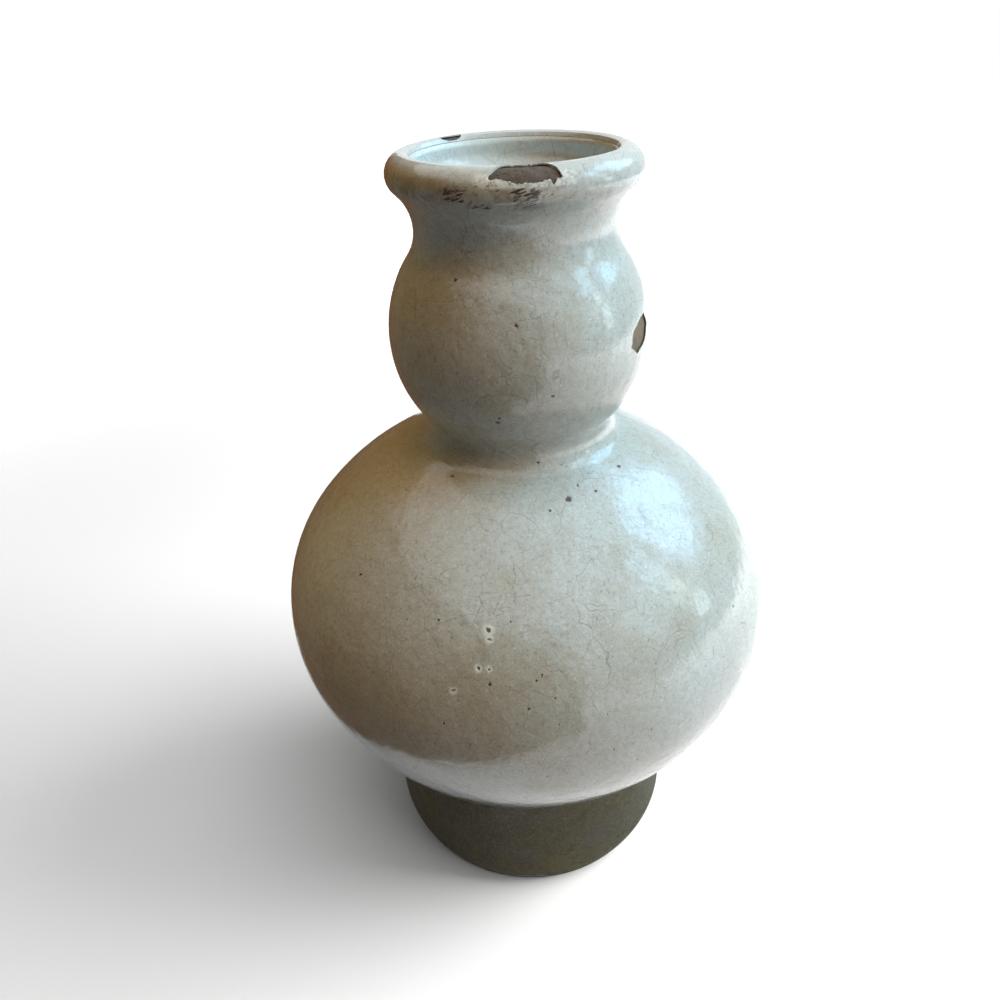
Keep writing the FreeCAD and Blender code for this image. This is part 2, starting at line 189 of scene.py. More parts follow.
# Flecks in the glaze: turn in degrees, height, radius and colour
FLECKS = [
    (19.0, 0.2556, 0.0016, "stain"), (25.8, 0.2580, 0.0008, "stain"), (52.0, 0.2579, 0.0009, "stain"),
    (-1.1, 0.3351, 0.0009, "stain"), (12.9, 0.3049, 0.0008, "stain"), (-10.3, 0.2925, 0.0010, "chip"),
    (-30.4, 0.3497, 0.0008, "stain"), (-7.7, 0.2040, 0.0009, "stain"), (-16.7, 0.1844, 0.0008, "chip"),
    (1.6, 0.206, 0.0006, "stain"), (2.6, 0.2075, 0.0006, "stain"), (-3.7, 0.225, 0.0006, "stain"),
    (-20.5, 0.223, 0.0006, "stain"), (-46, 0.2265, 0.0007, "stain"), (-37.7, 0.2595, 0.0009, "chip"),
    (16, 0.1685, 0.0007, "stain"), (21.5, 0.1555, 0.0007, "stain"), (3.2, 0.157, 0.0007, "stain"),
    (-1, 0.181, 0.0006, "stain"), (0, 0.195, 0.0008, "chip"), (5.5, 0.187, 0.0007, "chip"),
    (9, 0.266, 0.0008, "stain"),
]

# Blistered pits: turn in degrees, height and radius
PITS = [
    (-8.6, 0.2221, 0.0014), (-8.2, 0.2194, 0.0010), (-10.1, 0.2094, 0.0010), (-7.9, 0.2096, 0.0008),
    (-14.9, 0.1999, 0.0010),
]

# A located mark: how it is bent, how soft its edge is, how much a fleck, a pit's rim and its hole show,
# and the last two's sizes as shares of the pit's radius
MARK_BEND = (0.0016, 0.0022)
MARK_SOFTNESS = 0.35
FLECK_STRENGTH, RIM_STRENGTH, HOLE_STRENGTH = 0.9, 0.75, 0.85
RIM_SHARE, HOLE_SHARE = 1.9, 0.8

# Pale colour of a pit's rim, a broken edge, the specks, and the foot's worn edge, which at the front is also
# a painted highlight
PALE_EDGE_AND_HIGHLIGHT = (0.80, 0.78, 0.72)

# Every noise below is written as the size of its lumps, its detail and its roughness. Levels of it
# follow where something shows: where that begins and is full, how much of it shows at most and least.

# Noise that bends the coordinates of another: its detail and roughness
BEND_NOISE = (2, 0.5)

# Layers of the glaze's colour
GLAZE_LAYERS = [
    ("glaze_pale", (0.075, 3, 0.60, 0.38, 0.66)),
    ("glaze_fawn", (0.050, 4, 0.62, 0.46, 0.72, 0.55)),
    ("glaze_fawn", (0.0034, 4, 0.70, 0.38, 0.66, 0.30)),
    ("crackle", (0.0013, 3, 0.65, 0.52, 0.72, 0.40)),
]
PALE_SPECKS = (0.0011, 2, 0.60, 0.58, 0.74, 0.45)
SPECK_BEND = (0.004, 0.002)

# Painted light: the glaze inside the mouth is made paler and bluer, as the cool lamps light it
INSIDE_PAINTED_LIGHT = (0.78, 0.86, 0.88)
INSIDE_PAINTED_LIGHT_SHARE = 0.45

# Rows of the crackle: how they bend, size of the cells, width of the lines as a share of a cell, size of
# the stretches that fade in and out, and how dark the row is
LONG_BEND, FINE_BEND = (0.022, 0.014), (0.007, 0.0045)
CRACKLE_ROWS = [
    ("long", 0.0210, 0.0050, (0.018, 2, 0.5, 0.40, 0.64, 1.0, 0.12), 0.62),
    ("fine", 0.0098, 0.0085, (0.011, 2, 0.5, 0.42, 0.64, 1.0, 0.12), 0.55),
    ("fine", 0.0042, 0.0170, (0.009, 2, 0.5, 0.40, 0.64, 1.0, 0.12), 0.34),
]
CRACK_SOFTNESS = 2.2
CRACK_CORE = 0.2
CRACK_DARKNESS = 0.72

# Pinholes: size of the cells that hold them, share of the cells that have one, its size as a share of
# the cell, and how dark it is
PINHOLES = [(0.0105, 0.16, 0.050, 0.85), (0.0060, 0.12, 0.060, 0.45)]

# Gloss and relief of the glaze
GLAZE_POLISH = (0.012, 3, 0.5, 0.3, 0.7, 0.12, 0.045)
GLAZE_IOR = 1.52
COAT_WEIGHT = 0.35
COAT_ROUGHNESS = 0.03
WAVES, WAVE_HEIGHT = (0.024, 3, 0.55), 0.0011
PEEL, PEEL_HEIGHT = (0.0048, 4, 0.62), 0.00028
CRACK_DEPTH = 0.00004
PIT_DEPTH = 0.0003

# Bands of the lip, as shares of its roll below the top: where each begins and is full. The top band is
# painted light, and the band under the roll holds painted shade
LIT_LIP_TOP_SHARES = (0.35, 0.1)
SHADED_UNDER_LIP_SHARES = ((2.4, 1.2), (0.3, 0.8))
LIP_TOP_PAINTED_LIGHT = 0.7

# Fawn and painted shade under the lip, and the turns where each begins and is full; the fawn is partly the
# glaze's own and partly painted shade on the left, and the shade is heavier on the front and left, away from
# the lamps
LIP_FAWN, FAWN_SHADE_TURNS = (0.011, 3, 0.5, 0.35, 0.65), (10, -60)
FAWN_LEAST, FAWN_SHADE_MORE = 0.40, 0.6
LIP_PAINTED_SHADE, PAINTED_SHADE_TURNS = (0.0022, 4, 0.70, 0.46, 0.70, 0.6), (35, 5, 0.3)

# The streaks' scratches: noise, how far their patch fades at its ends, and the levels that cut them out
SCRATCH_NOISE = (5, 0.75)
SMEAR = (0.0035, 4, 0.65, 0.42, 0.66, 0.5)
STREAK_CORE, STREAK_FADE = 0.35, 0.15
SCRATCH_CUT, SCRATCH_DENSER, SCRATCH_EDGE = 0.78, 0.30, 0.045
SCRATCH_REGION = (0.02, 0.2)
SCRATCH_DARKNESS = 0.92

# Broken edge of the glaze round the front chip: shares of its half width and of its depth
FRINGE = (0.0016, 3, 0.65, 0.42, 0.52, 0.8)
FRINGE_WIDTH_SHARES = (1.22, 1.02)
FRINGE_DEPTH_SHARES = ((1.28, 1.1), (0.3, 0.5))

# Bare clay: clouds, dark patches, light grains and the shadows between them
CLAY_CLOUDS, CLOUD_LEVELS = (0.030, 4, 0.6), (0.40, 0.72, 0.0, 0.55)
CLAY_PATCHES, PATCH_SHADE = (0.012, 5, 0.7, 0.44, 0.66, 0.55), 0.45
GRAIN_NOISE, GRAIN_LEVELS = (3, 0.7), (0.54, 0.66, 0.0, 0.80)
SHADOW_NOISE, SHADOW_SHADE, SHADOW_SIZE = (3, 0.7, 0.54, 0.70, 0.65), 0.30, 2.3
CLAY_DULLNESS = (0.3, 0.7, 0.62, 0.85)
FOOT_GRAIN, CHIP_GRAIN, GRAIN_RELIEF = 0.0011, 0.0009, 0.28
RING_SIZE, RING_NOISE, RING_SQUEEZE, RING_DEPTH = 0.006, (3, 0.5), (0.12, 0.12, 1), 0.0004

# The foot's pale lower edge, worn all round and a painted highlight at the front: its height, the shares of
# it that are pale, and the turn and degrees beside it
WORN_AND_HIGHLIT_HEIGHT = 0.006
WORN_AND_HIGHLIT_SHARES = ((1, 0.7), (0.3, 0.5))
WORN_AND_HIGHLIT_GRAINS = (0.35, 0.6, 0.4)
WORN_AND_HIGHLIT_TURN, WORN_AND_HIGHLIT_BESIDE, WORN_AND_HIGHLIT_LEAST = -6, (14, 8.4), 0.1

# Windows that only the glaze mirrors: turn and climb, width and height in degrees, and their light
WINDOWS = [
    ("window_far", 123, 37, 15, 28, (1.75, 3.4, 4.9)),
    ("window_middle", 103, 38, 17, 30, (1.75, 3.4, 4.9)),
    ("window_near", 76, 40, 10, 18, (2.0, 3.6, 4.7)),
    ("window_sill", 80, 25, 7, 8, (3.4, 4.0, 3.6)),
    ("window_low", 83, 12, 8, 14, (3.2, 4.2, 4.6)),
]

# Wide soft lamps for the vase, which the glaze doesn't mirror: cool from the right, brown from above
SKIES = [
    ("left_back", -120, 9, 50, 22, (1.20, 1.60, 1.20)),
    ("right_front", 60, 30, 40, 40, (3.15, 2.95, 2.50)),
    ("right", 97, 30, 40, 40, (0.40, 1.30, 1.90)),
    ("right_high", 97, 55, 40, 40, (1.85, 4.30, 6.20)),
    ("overhead", 0, 88, 60, 60, (1.34, 0.70, 0.10)),
]

# White soft lamps for the floor, which lay the vase's shadow to the left
FLOOR_SKIES = [
    ("floor_right_front", 60, 30, 40, 40, (1.36, 1.36, 1.36)),
    ("floor_right", 97, 30, 40, 40, (9.6, 9.6, 9.6)),
    ("floor_right_high", 97, 55, 40, 40, (0.9, 0.9, 0.9)),
    ("floor_overhead", 0, 88, 60, 60, (1.8, 1.8, 1.8)),
]

# Near edge of the brown card on the floor: turn in degrees and distance from the axis
CARD_EDGE = [
    (-165, 0.55), (-140, 0.36), (-115, 0.26), (-98, 0.20), (-82, 0.173), (-65, 0.185), (-50, 0.199),
    (-28, 0.238), (-10, 0.290), (3, 0.367), (20, 0.52),
]
CARD_LIFT = 0.0004

# The floor's half width and its drop under the vase, a white surround and the camera's sensor
FLOOR_HALF = 20
FLOOR_DROP = 0.0001
WHITE = (1, 1, 1, 1)
SENSOR = 36

# How finely the pieces are turned and chipped
SWEEP_RADIUS = 1.0
WELD = 0.000002
BACK_STEP = 0.008
BEAD_STEPS = 6
BEVEL_STEP = 0.0006
CHIPPED_STEP = 0.0008
CHIPPED_SEGMENTS = 384
CHIP_SECTIONS = 60
CHIP_WAVES = 26
CHIP_TAPER = 4
CHIP_EDGE_SHARE = 0.3
RAGGED_PITCH = 0.55
RAGGED_SEED = 1
SECOND_ROW = 5
SHARP_DEGREES = 38

# The foot's seam tongue, and how far down to the floor its worn corner goes
TONGUE = 0.004
STANDING_SHARE = 0.6

# Broken clay: falloff of the noise's layers, the step between them and their number
BROKEN_CLAY = (1.0, 2.0, 4)


def settings(kind):
    """The scene's own copy of a group of settings."""
    return getattr(bpy.context.scene, kind)


# The line of the vase


class Arc:
    """One arc of the vase's line: its centre, its radius, and whether the wall swells there."""

    def __init__(self, reach, height, radius, swells):
        self.centre = Vector((reach, height))
        self.bend = radius if swells else -radius

    def radius(self, depth):
        """Radius of the arc at a depth under the glaze."""
        return abs(self.bend - depth)

    def meets(self, upper, depth):
        """Where the next arc up takes over, at a depth under the glaze."""
        outward = (upper.centre - self.centre) / (self.bend - upper.bend)
        return self.centre + outward * (self.bend - depth)

    def at_height(self, depth, height, inside=False):
        """Where the arc passes a height, on the outside or the inside of its centre."""
        rise = height - self.centre.y
        reach = math.sqrt(self.radius(depth) ** 2 - rise ** 2)
        return Vector((self.centre.x + (-reach if inside else reach), height))

    def points(self, start, end, step):
        """Points along the arc from start to end, without the last."""
        first = math.atan2(start.y - self.centre.y, start.x - self.centre.x)
        turn = math.atan2(end.y - self.centre.y, end.x - self.centre.x) - first
        turn = (turn + math.pi) % math.tau - math.pi
        radius = (start - self.centre).length
        steps = max(2, math.ceil(abs(turn) * radius / step))
        angles = [first + turn * number / steps for number in range(steps)]
        return [self.centre + radius * Vector((math.cos(a), math.sin(a))) for a in angles]


class VaseLine:
    """The arcs of the vase's line, worked out from the shape's sizes."""

    def __init__(self, shape):
        self.shape = shape
        s = shape
        sides = s.belly_radius - s.equator_reach
        crown_excess = s.equator_reach - s.crown_flattening
        base_excess = s.equator_reach - s.base_flattening
        sink = (s.equator_reach ** 2 - crown_excess ** 2) / (2 * crown_excess)
        lift = (s.equator_reach ** 2 - base_excess ** 2) / (2 * base_excess)
        crown_radius = sides + crown_excess + sink
        crown_height = s.belly_height - sink
        waist_reach = s.waist_radius + s.waist_round
        waist_height = crown_height + rise_between(crown_radius + s.waist_round, waist_reach)
        bulb_height = waist_height + rise_between(s.bulb_radius + s.waist_round, waist_reach)
        neck_reach = s.neck_radius + s.neck_round
        neck_height = bulb_height + rise_between(s.bulb_radius + s.neck_round, neck_reach)
        lip_reach = s.neck_radius + s.lip_overhang - s.lip_roll
        lip_height = neck_height + rise_between(s.neck_round + s.lip_roll, neck_reach - lip_reach)
        self.edge_height = lip_height + s.lip_roll - s.edge_round
        self.mouth_radius = lip_reach - s.edge_round
        self.arcs = {
            "base": Arc(0, s.belly_height + lift, sides + base_excess + lift, True),
            "equator": Arc(s.equator_reach, s.belly_height, sides, True),
            "crown": Arc(0, crown_height, crown_radius, True),
            "waist": Arc(waist_reach, waist_height, s.waist_round, False),
            "bulb": Arc(0, bulb_height, s.bulb_radius, True),
            "neck": Arc(neck_reach, neck_height, s.neck_round, False),
            "lip": Arc(lip_reach, lip_height, s.lip_roll, True),
            "edge": Arc(lip_reach, self.edge_height, s.edge_round, True),
        }
        self.waist_height, self.bulb_height, self.neck_height = waist_height, bulb_height, neck_height
        base = self.arcs["base"]
        self.foot_height = base.centre.y - rise_between(base.radius(s.glaze_coat), s.foot_radius)

    def covers(self, name, height):
        """Whether one of the arcs is the line at a height."""
        names = list(self.arcs)
        place = names.index(name)
        low = self.arcs[names[place - 1]].meets(self.arcs[name], 0).y if place else self.foot_height
        high = self.arcs[name].meets(self.arcs[names[place + 1]], 0).y
        return low <= height <= high

    def run(self, names, depth, start, end, step):
        """Points up the line at a depth under the glaze, from one point to another."""
        names = names.split()
        meets = [self.arcs[a].meets(self.arcs[b], depth) for a, b in zip(names, names[1:])]
        stops = [start, *meets, end]
        points = []
        for name, begin, stop in zip(names, stops, stops[1:]):
            points += self.arcs[name].points(begin, stop, step)
        return [*points, end]


def rise_between(slant, across):
    """The upright side of a right triangle."""
    return math.sqrt(slant ** 2 - across ** 2)


def quarter(centre, radius, start, end, step):
    """Points round a corner about a centre, between two angles in degrees, with both ends."""
    first, last = math.radians(start), math.radians(end)
    steps = max(3, math.ceil(abs(last - first) * radius / step))
    angles = [first + (last - first) * number / steps for number in range(steps + 1)]
    return [Vector(centre) + radius * Vector((math.cos(a), math.sin(a))) for a in angles]


def straight(start, end, step):
    """Points along a straight stretch, without its ends."""
    start, end = Vector(start), Vector(end)
    steps = max(1, math.ceil((end - start).length / step))
    return [start.lerp(end, number / steps) for number in range(1, steps)]


# Turning


def turning_tree():
    """Geometry nodes that sweep an outline round the axis, dip its face here and there and finish it."""
    tree = bpy.data.node_groups.new("turned_on_the_wheel", "GeometryNodeTree")
    face = tree.interface
    face.new_socket("Outline", in_out="INPUT", socket_type="NodeSocketGeometry")
    face.new_socket("Segments", in_out="INPUT", socket_type="NodeSocketInt")
    face.new_socket("Dip", in_out="INPUT", socket_type="NodeSocketFloat")
    face.new_socket("Dip span", in_out="INPUT", socket_type="NodeSocketFloat")
    face.new_socket("Finish", in_out="INPUT", socket_type="NodeSocketMaterial")
    face.new_socket("Piece", in_out="OUTPUT", socket_type="NodeSocketGeometry")
    node, link = builder(tree), tree.links.new
    entry = node("NodeGroupInput")
    outline = node("GeometryNodeMeshToCurve")
    link(entry.outputs["Outline"], outline.inputs["Mesh"])
    circle = node("GeometryNodeCurvePrimitiveCircle")
    circle.inputs["Radius"].default_value = SWEEP_RADIUS
    link(entry.outputs["Segments"], circle.inputs["Resolution"])
    level = node("GeometryNodeSetCurveNormal", mode="Z_UP")
    link(circle.outputs["Curve"], level.inputs["Curve"])
    sweep = node("GeometryNodeCurveToMesh")
    link(level.outputs["Curve"], sweep.inputs["Curve"])
    link(outline.outputs["Curve"], sweep.inputs["Profile Curve"])
    weld = node("GeometryNodeMergeByDistance")
    weld.inputs["Distance"].default_value = WELD
    flip = node("GeometryNodeFlipFaces")
    link(sweep.outputs["Mesh"], flip.inputs["Mesh"])
    link(flip.outputs["Mesh"], weld.inputs["Geometry"])

    # Dips: the face moves inwards by a soft noise, and never outwards
    span = node("ShaderNodeMath", operation="DIVIDE")
    span.inputs[0].default_value = 1
    link(entry.outputs["Dip span"], span.inputs[1])
    noise_field = node("ShaderNodeTexNoise")
    noise_field.inputs["Detail"].default_value = 1
    link(span.outputs[0], noise_field.inputs["Scale"])
    place = node("GeometryNodeInputPosition")
    link(place.outputs[0], noise_field.inputs["Vector"])
    normal = node("GeometryNodeInputNormal")
    amount = node("ShaderNodeMath", operation="MULTIPLY")
    link(noise_field.outputs[0], amount.inputs[0])
    link(entry.outputs["Dip"], amount.inputs[1])
    inward = node("ShaderNodeMath", operation="MULTIPLY")
    inward.inputs[1].default_value = -1
    link(amount.outputs[0], inward.inputs[0])
    offset = node("ShaderNodeVectorMath", operation="SCALE")
    link(normal.outputs[0], offset.inputs[0])
    link(inward.outputs[0], offset.inputs["Scale"])
    dip = node("GeometryNodeSetPosition")
    link(weld.outputs["Geometry"], dip.inputs["Geometry"])
    link(offset.outputs[0], dip.inputs["Offset"])

    smooth = node("GeometryNodeSetShadeSmooth")
    link(dip.outputs["Geometry"], smooth.inputs["Geometry"])
    realize = node("GeometryNodeRealizeInstances")
    link(smooth.outputs["Geometry"], realize.inputs["Geometry"])
    finish = node("GeometryNodeSetMaterial")
    link(realize.outputs["Geometry"], finish.inputs["Geometry"])
    link(entry.outputs["Finish"], finish.inputs["Material"])
    leave = node("NodeGroupOutput")
    link(finish.outputs["Geometry"], leave.inputs["Piece"])
    return tree


def turned(name, outline, closed, finish, segments=None, dip=0):
    """A piece turned from an outline, given upwards on its outer side, as a plain mesh."""
    fineness = settings("vase_mesh")
    mesh = bpy.data.meshes.new(f"{name}_outline")
    corners = [(point.x - SWEEP_RADIUS, -point.y, 0) for point in outline]
    edges = [(number, number + 1) for number in range(len(corners) - 1)]
    if closed:
        edges.append((len(corners) - 1, 0))
    mesh.from_pydata(corners, edges, [])
    piece = bpy.data.objects.new(name, mesh)
    bpy.context.scene.collection.objects.link(piece)
    tree = bpy.data.node_groups.get("turned_on_the_wheel") or turning_tree()
    wheel = piece.modifiers.new("Wheel", "NODES")
    wheel.node_group = tree
    values = {
        "Segments": segments or fineness.segments,
        "Dip": dip,
        "Dip span": fineness.wobble_span,
        "Finish": finish,
    }
    for item in tree.interface.items_tree:
        if item.name in values and item.in_out == "INPUT":
            wheel[item.identifier] = values[item.name]
    settle(piece)
    return piece


def settle(piece):
    """Makes what a piece's modifiers show its own mesh, and takes the modifiers off."""
    bpy.context.view_layer.update()
    shown = piece.evaluated_get(bpy.context.evaluated_depsgraph_get())
    mesh = bpy.data.meshes.new_from_object(shown)
    piece.modifiers.clear()
    old, piece.data = piece.data, mesh
    bpy.data.meshes.remove(old)
    mesh.name = piece.name


def outward(piece):
    """Turns a closed piece's faces outwards."""
    shell = bmesh.new()
    shell.from_mesh(piece.data)
    bmesh.ops.remove_doubles(shell, verts=shell.verts, dist=WELD)
    bmesh.ops.recalc_face_normals(shell, faces=shell.faces)
    shell.to_mesh(piece.data)
    shell.free()


def fit_on(piece, node):
    """Puts a piece in a CAD node's place, on the vase's one body."""
    outward(piece)
    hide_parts(node)
    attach(piece, "root")


# Outlines of the turned pieces, each going up its outer side


def glaze_outline(line):
    """The outer coat: up the outside over the lip, and down its own back; its lower edge is rounded."""
    s, fineness = line.shape, settings("vase_mesh")
    bead = s.glaze_coat / 2
    base, edge = line.arcs["base"], line.arcs["edge"]
    lower = base.at_height(bead, line.foot_height + bead)
    slope = (lower - base.centre).normalized()
    along = Vector((slope.y, -slope.x))
    outer_start = lower + slope * bead
    inner_start = lower - slope * bead
    below = (-along if along.y > 0 else along) * bead
    rounding = [lower + math.cos(a) * -slope * bead + math.sin(a) * below
                for a in (math.pi * step / BEAD_STEPS for step in range(1, BEAD_STEPS))]
    mouth = Vector((line.mouth_radius, line.edge_height))
    names = "base equator crown waist bulb neck lip edge"
    outside = line.run(names, 0, outer_start, mouth, fineness.skin_step)
    back_end = Vector((line.mouth_radius + s.glaze_coat, line.edge_height))
    back = line.run(names, s.glaze_coat, inner_start, back_end, BACK_STEP)
    return [*outside, *reversed(back), *rounding]


def liner_outline(line):
    """The coat inside: from the waist up the hollow of the bulb and the neck to the mouth's edge."""
    s, step = line.shape, settings("vase_mesh").step
    clay = s.glaze_coat + s.clay_wall
    inner = clay + s.liner_coat
    neck = line.arcs["neck"]
    clay_mouth = line.mouth_radius + s.glaze_coat

    def up_the_hollow(depth, reach):
        start = line.arcs["waist"].at_height(depth, line.waist_height, inside=True)
        throat_height = neck.centre.y + rise_between(neck.radius(depth), neck.centre.x - reach)
        throat = Vector((reach, throat_height))
        top = Vector((reach, line.edge_height))
        clay_side = line.run("waist bulb neck", depth, start, throat, step)
        return [*clay_side, *straight(throat, top, step), top]

    return [*up_the_hollow(clay, clay_mouth), *reversed(up_the_hollow(inner, line.mouth_radius))]


def foot_outline(line):
    """The bare foot: from the middle of its underside out, up, and in to the middle of the floor."""
    s, step = line.shape, settings("vase_mesh").skin_step
    tuck = s.foot_radius - s.foot_tuck
    ring_inside = tuck - s.ring_width
    bore = s.foot_radius - s.foot_wall
    floor = s.ring_height + s.floor_thickness
    seam = s.foot_radius - s.foot_wall / 2
    turn_height = rise_between(s.foot_round, s.foot_round - s.foot_tuck)
    side = Arc(s.foot_radius - s.foot_round, turn_height, s.foot_round, True)
    worn = s.ring_bevel
    standing_edge = side.at_height(0, worn)
    upper_corner = Vector((s.foot_radius, line.foot_height))
    tongue = line.foot_height - TONGUE
    outline = [Vector((0, s.ring_height))]
    outline += straight((0, s.ring_height), (ring_inside - worn, s.ring_height), step)
    outline += quarter((ring_inside - worn, s.ring_height - worn), worn, 90, 0, BEVEL_STEP)
    outline += quarter((ring_inside + worn, worn), worn, 180, 270, BEVEL_STEP)
    outline += straight((ring_inside + worn, 0), (standing_edge.x - worn, 0), step)
    corner = standing_edge.lerp(Vector((standing_edge.x, 0)), STANDING_SHARE)
    outline += [Vector((standing_edge.x - worn, 0)), corner]
    outline += side.points(standing_edge, Vector((s.foot_radius, turn_height)), step)
    outline += [Vector((s.foot_radius, turn_height))]
    outline += straight((s.foot_radius, turn_height), upper_corner, step)
    outline += [upper_corner, Vector((seam, line.foot_height)), Vector((seam, tongue))]
    outline += [Vector((bore, tongue))]
    outline += straight((bore, tongue), (bore, floor + s.floor_round), step)
    outline += quarter((bore - s.floor_round, floor + s.floor_round), s.floor_round, 0, -90, BEVEL_STEP)
    outline += straight((bore - s.floor_round, floor), (0, floor), step)
    outline += [Vector((0, floor))]
    return outline


def clay_outline(line, names, low, high):
    """A clay section between two heights: up its outer face and down its inner one."""
    s, step = line.shape, settings("vase_mesh").skin_step
    names = names.split()

    def face(depth):
        start = line.arcs[names[0]].at_height(depth, low, inside=names[0] in ("waist", "neck"))
        end = line.arcs[names[-1]].at_height(depth, high, inside=names[-1] in ("waist", "neck", "edge"))
        return line.run(" ".join(names), depth, start, end, step)

    return [*face(s.glaze_coat), *reversed(face(s.glaze_coat + s.clay_wall))]


def rim_outline(line):
    """The clay of the neck's flare and the rolled lip, with the mouth's upright wall."""
    s, step = line.shape, settings("vase_mesh").skin_step
    neck = line.arcs["neck"]
    clay = s.glaze_coat + s.clay_wall
    clay_mouth = line.mouth_radius + s.glaze_coat
    start = neck.at_height(s.glaze_coat, line.neck_height, inside=True)
    end = Vector((clay_mouth, line.edge_height))
    throat_height = neck.centre.y + rise_between(neck.radius(clay), neck.centre.x - clay_mouth)
    throat = Vector((clay_mouth, throat_height))
    inner_start = neck.at_height(clay, line.neck_height, inside=True)
    outside = line.run("neck lip edge", s.glaze_coat, start, end, CHIPPED_STEP)
    inside = [*line.run("neck", clay, inner_start, throat, step), *straight(throat, end, step)]
    return [*outside, *reversed(inside)]


# Chips


def ragged(outline, jag, spread, seed):
    """An outline with points added along its edges and shifted by a soft noise."""
    noise.seed_set(RAGGED_SEED)
    points = []
    for (u, v), (next_u, next_v) in zip(outline, [*outline[1:], outline[0]]):
        steps = max(1, math.ceil(math.hypot(next_u - u, next_v - v) / spread))
        for number in range(steps):
            share = number / steps
            here = Vector((u + (next_u - u) * share, v + (next_v - v) * share, seed))
            shift = noise.noise_vector(here / spread * RAGGED_PITCH) * jag
            points.append((here.x + shift.x, here.y + shift.y))
    return points


def on_cylinder(turn, reach, height):
    """A point at a turn from the front towards the right, a distance from the axis, and a height."""
    angle = math.radians(turn)
    return Vector((reach * math.sin(angle), -reach * math.cos(angle), height))


def loft(rings):
    """A closed solid through closed rings of points, with a face across each end."""
    shell = bmesh.new()
    rows = [[shell.verts.new(point) for point in ring] for ring in rings]
    width = len(rows[0])
    for row, next_row in zip(rows, rows[1:]):
        for number in range(width):
            follower = (number + 1) % width
            shell.faces.new((row[number], row[follower], next_row[follower], next_row[number]))
    shell.faces.new(rows[0][::-1])
    shell.faces.new(rows[-1])
    bmesh.ops.recalc_face_normals(shell, faces=shell.faces)
    mesh = bpy.data.meshes.new("cutter")
    shell.to_mesh(mesh)
    shell.free()
    return mesh


def bulb_chip_cutter(line):
    """The chip on the right of the upper bulb: a ragged patch, its broken wall leaning outwards."""
    s = settings("vase_chips")
    radius = line.shape.bulb_radius
    middle = line.bulb_height + s.bulb_chip_rise
    outline = [(across * s.bulb_chip_width, up * s.bulb_chip_height) for across, up in BULB_CHIP_SHARES]
    edge = ragged(outline, s.chip_jag, s.chip_spread, seed=0.3)
    rings = []
    for coats, swell in BULB_CHIP_RINGS:
        depth = coats * line.shape.glaze_coat
        ring = []
        for across, up in edge:
            turn = s.bulb_chip_turn + math.degrees(across * swell / radius)
            height = middle + up * swell
            reach = math.sqrt((radius - depth) ** 2 - (height - line.bulb_height) ** 2)
            ring.append(on_cylinder(turn, reach, height))
        rings.append(ring)
    return loft(rings)


def rim_chip_cutter(line, turn, width, inner_reach, outer_reach, floor_shares, depth, seed):
    """A chip over the lip: a row of sections round the axis, each with its own floor."""
    s = settings("vase_chips")
    top = line.edge_height + line.shape.edge_round
    middle_reach = (inner_reach + outer_reach) / 2
    rings = []
    for number in range(CHIP_SECTIONS + 1):
        share = number / CHIP_SECTIONS
        across = share - 0.5
        floor = along_shares(floor_shares, across) * depth
        wave = noise.noise(Vector((across * CHIP_WAVES, seed, 0))) * s.chip_jag
        low = top - floor + wave
        inner = inner_reach + noise.noise(Vector((across * CHIP_WAVES, seed, SECOND_ROW))) * s.chip_jag
        inner += (outer_reach - inner_reach) * abs(2 * across) ** CHIP_TAPER
        angle = turn + math.degrees(across * width / middle_reach)
        past = max(outer_reach, inner + s.chip_jag)
        corners = [
            (inner, top + depth), (past, top + depth), (past, low),
            (max(middle_reach, inner), low), (inner, top - floor / 2),
        ]
        rings.append([on_cylinder(angle, reach, height) for reach, height in corners])
    return loft(rings)


def along_shares(shares, across):
    """A value read off a row of (across, value) shares, straight between them."""
    for (start, first), (stop, second) in zip(shares, shares[1:]):
        if start <= across <= stop:
            return first + (second - first) * (across - start) / (stop - start)
    return shares[-1][1]


def cut_away(piece, cutters):
    """Cuts chips out of a piece and keeps their broken edges sharp."""
    for number, mesh in enumerate(cutters):
        cutter = bpy.data.objects.new(f"cutter_{number}", mesh)
        bpy.context.scene.collection.objects.link(cutter)
        cut = piece.modifiers.new("Chip", "BOOLEAN")
        cut.operation = "DIFFERENCE"
        cut.solver = "EXACT"
        cut.object = cutter
        settle(piece)
        bpy.data.objects.remove(cutter)
        bpy.data.meshes.remove(mesh)
    piece.data.set_sharp_from_angle(angle=math.radians(SHARP_DEGREES))


def roughen(piece, depth, span, places):
    """Sinks a clay face by a noise near the places where a chip lays it bare."""
    for vertex in piece.data.vertices:
        near = max(smooth_share(1 - (vertex.co - place).length / reach) for place, reach in places)
        if near > 0:
            bumps = noise.fractal(vertex.co / span, *BROKEN_CLAY) * 0.5 + 0.5
            axis_out = Vector((vertex.co.x, vertex.co.y, 0)).normalized()
            lift = vertex.normal if vertex.normal.length else axis_out
            vertex.co -= lift * depth * near * max(0, min(1, bumps))


def smooth_share(share):
    """A share held between 0 and 1 and eased at both ends."""
    share = max(0, min(1, share))
    return share * share * (3 - 2 * share)


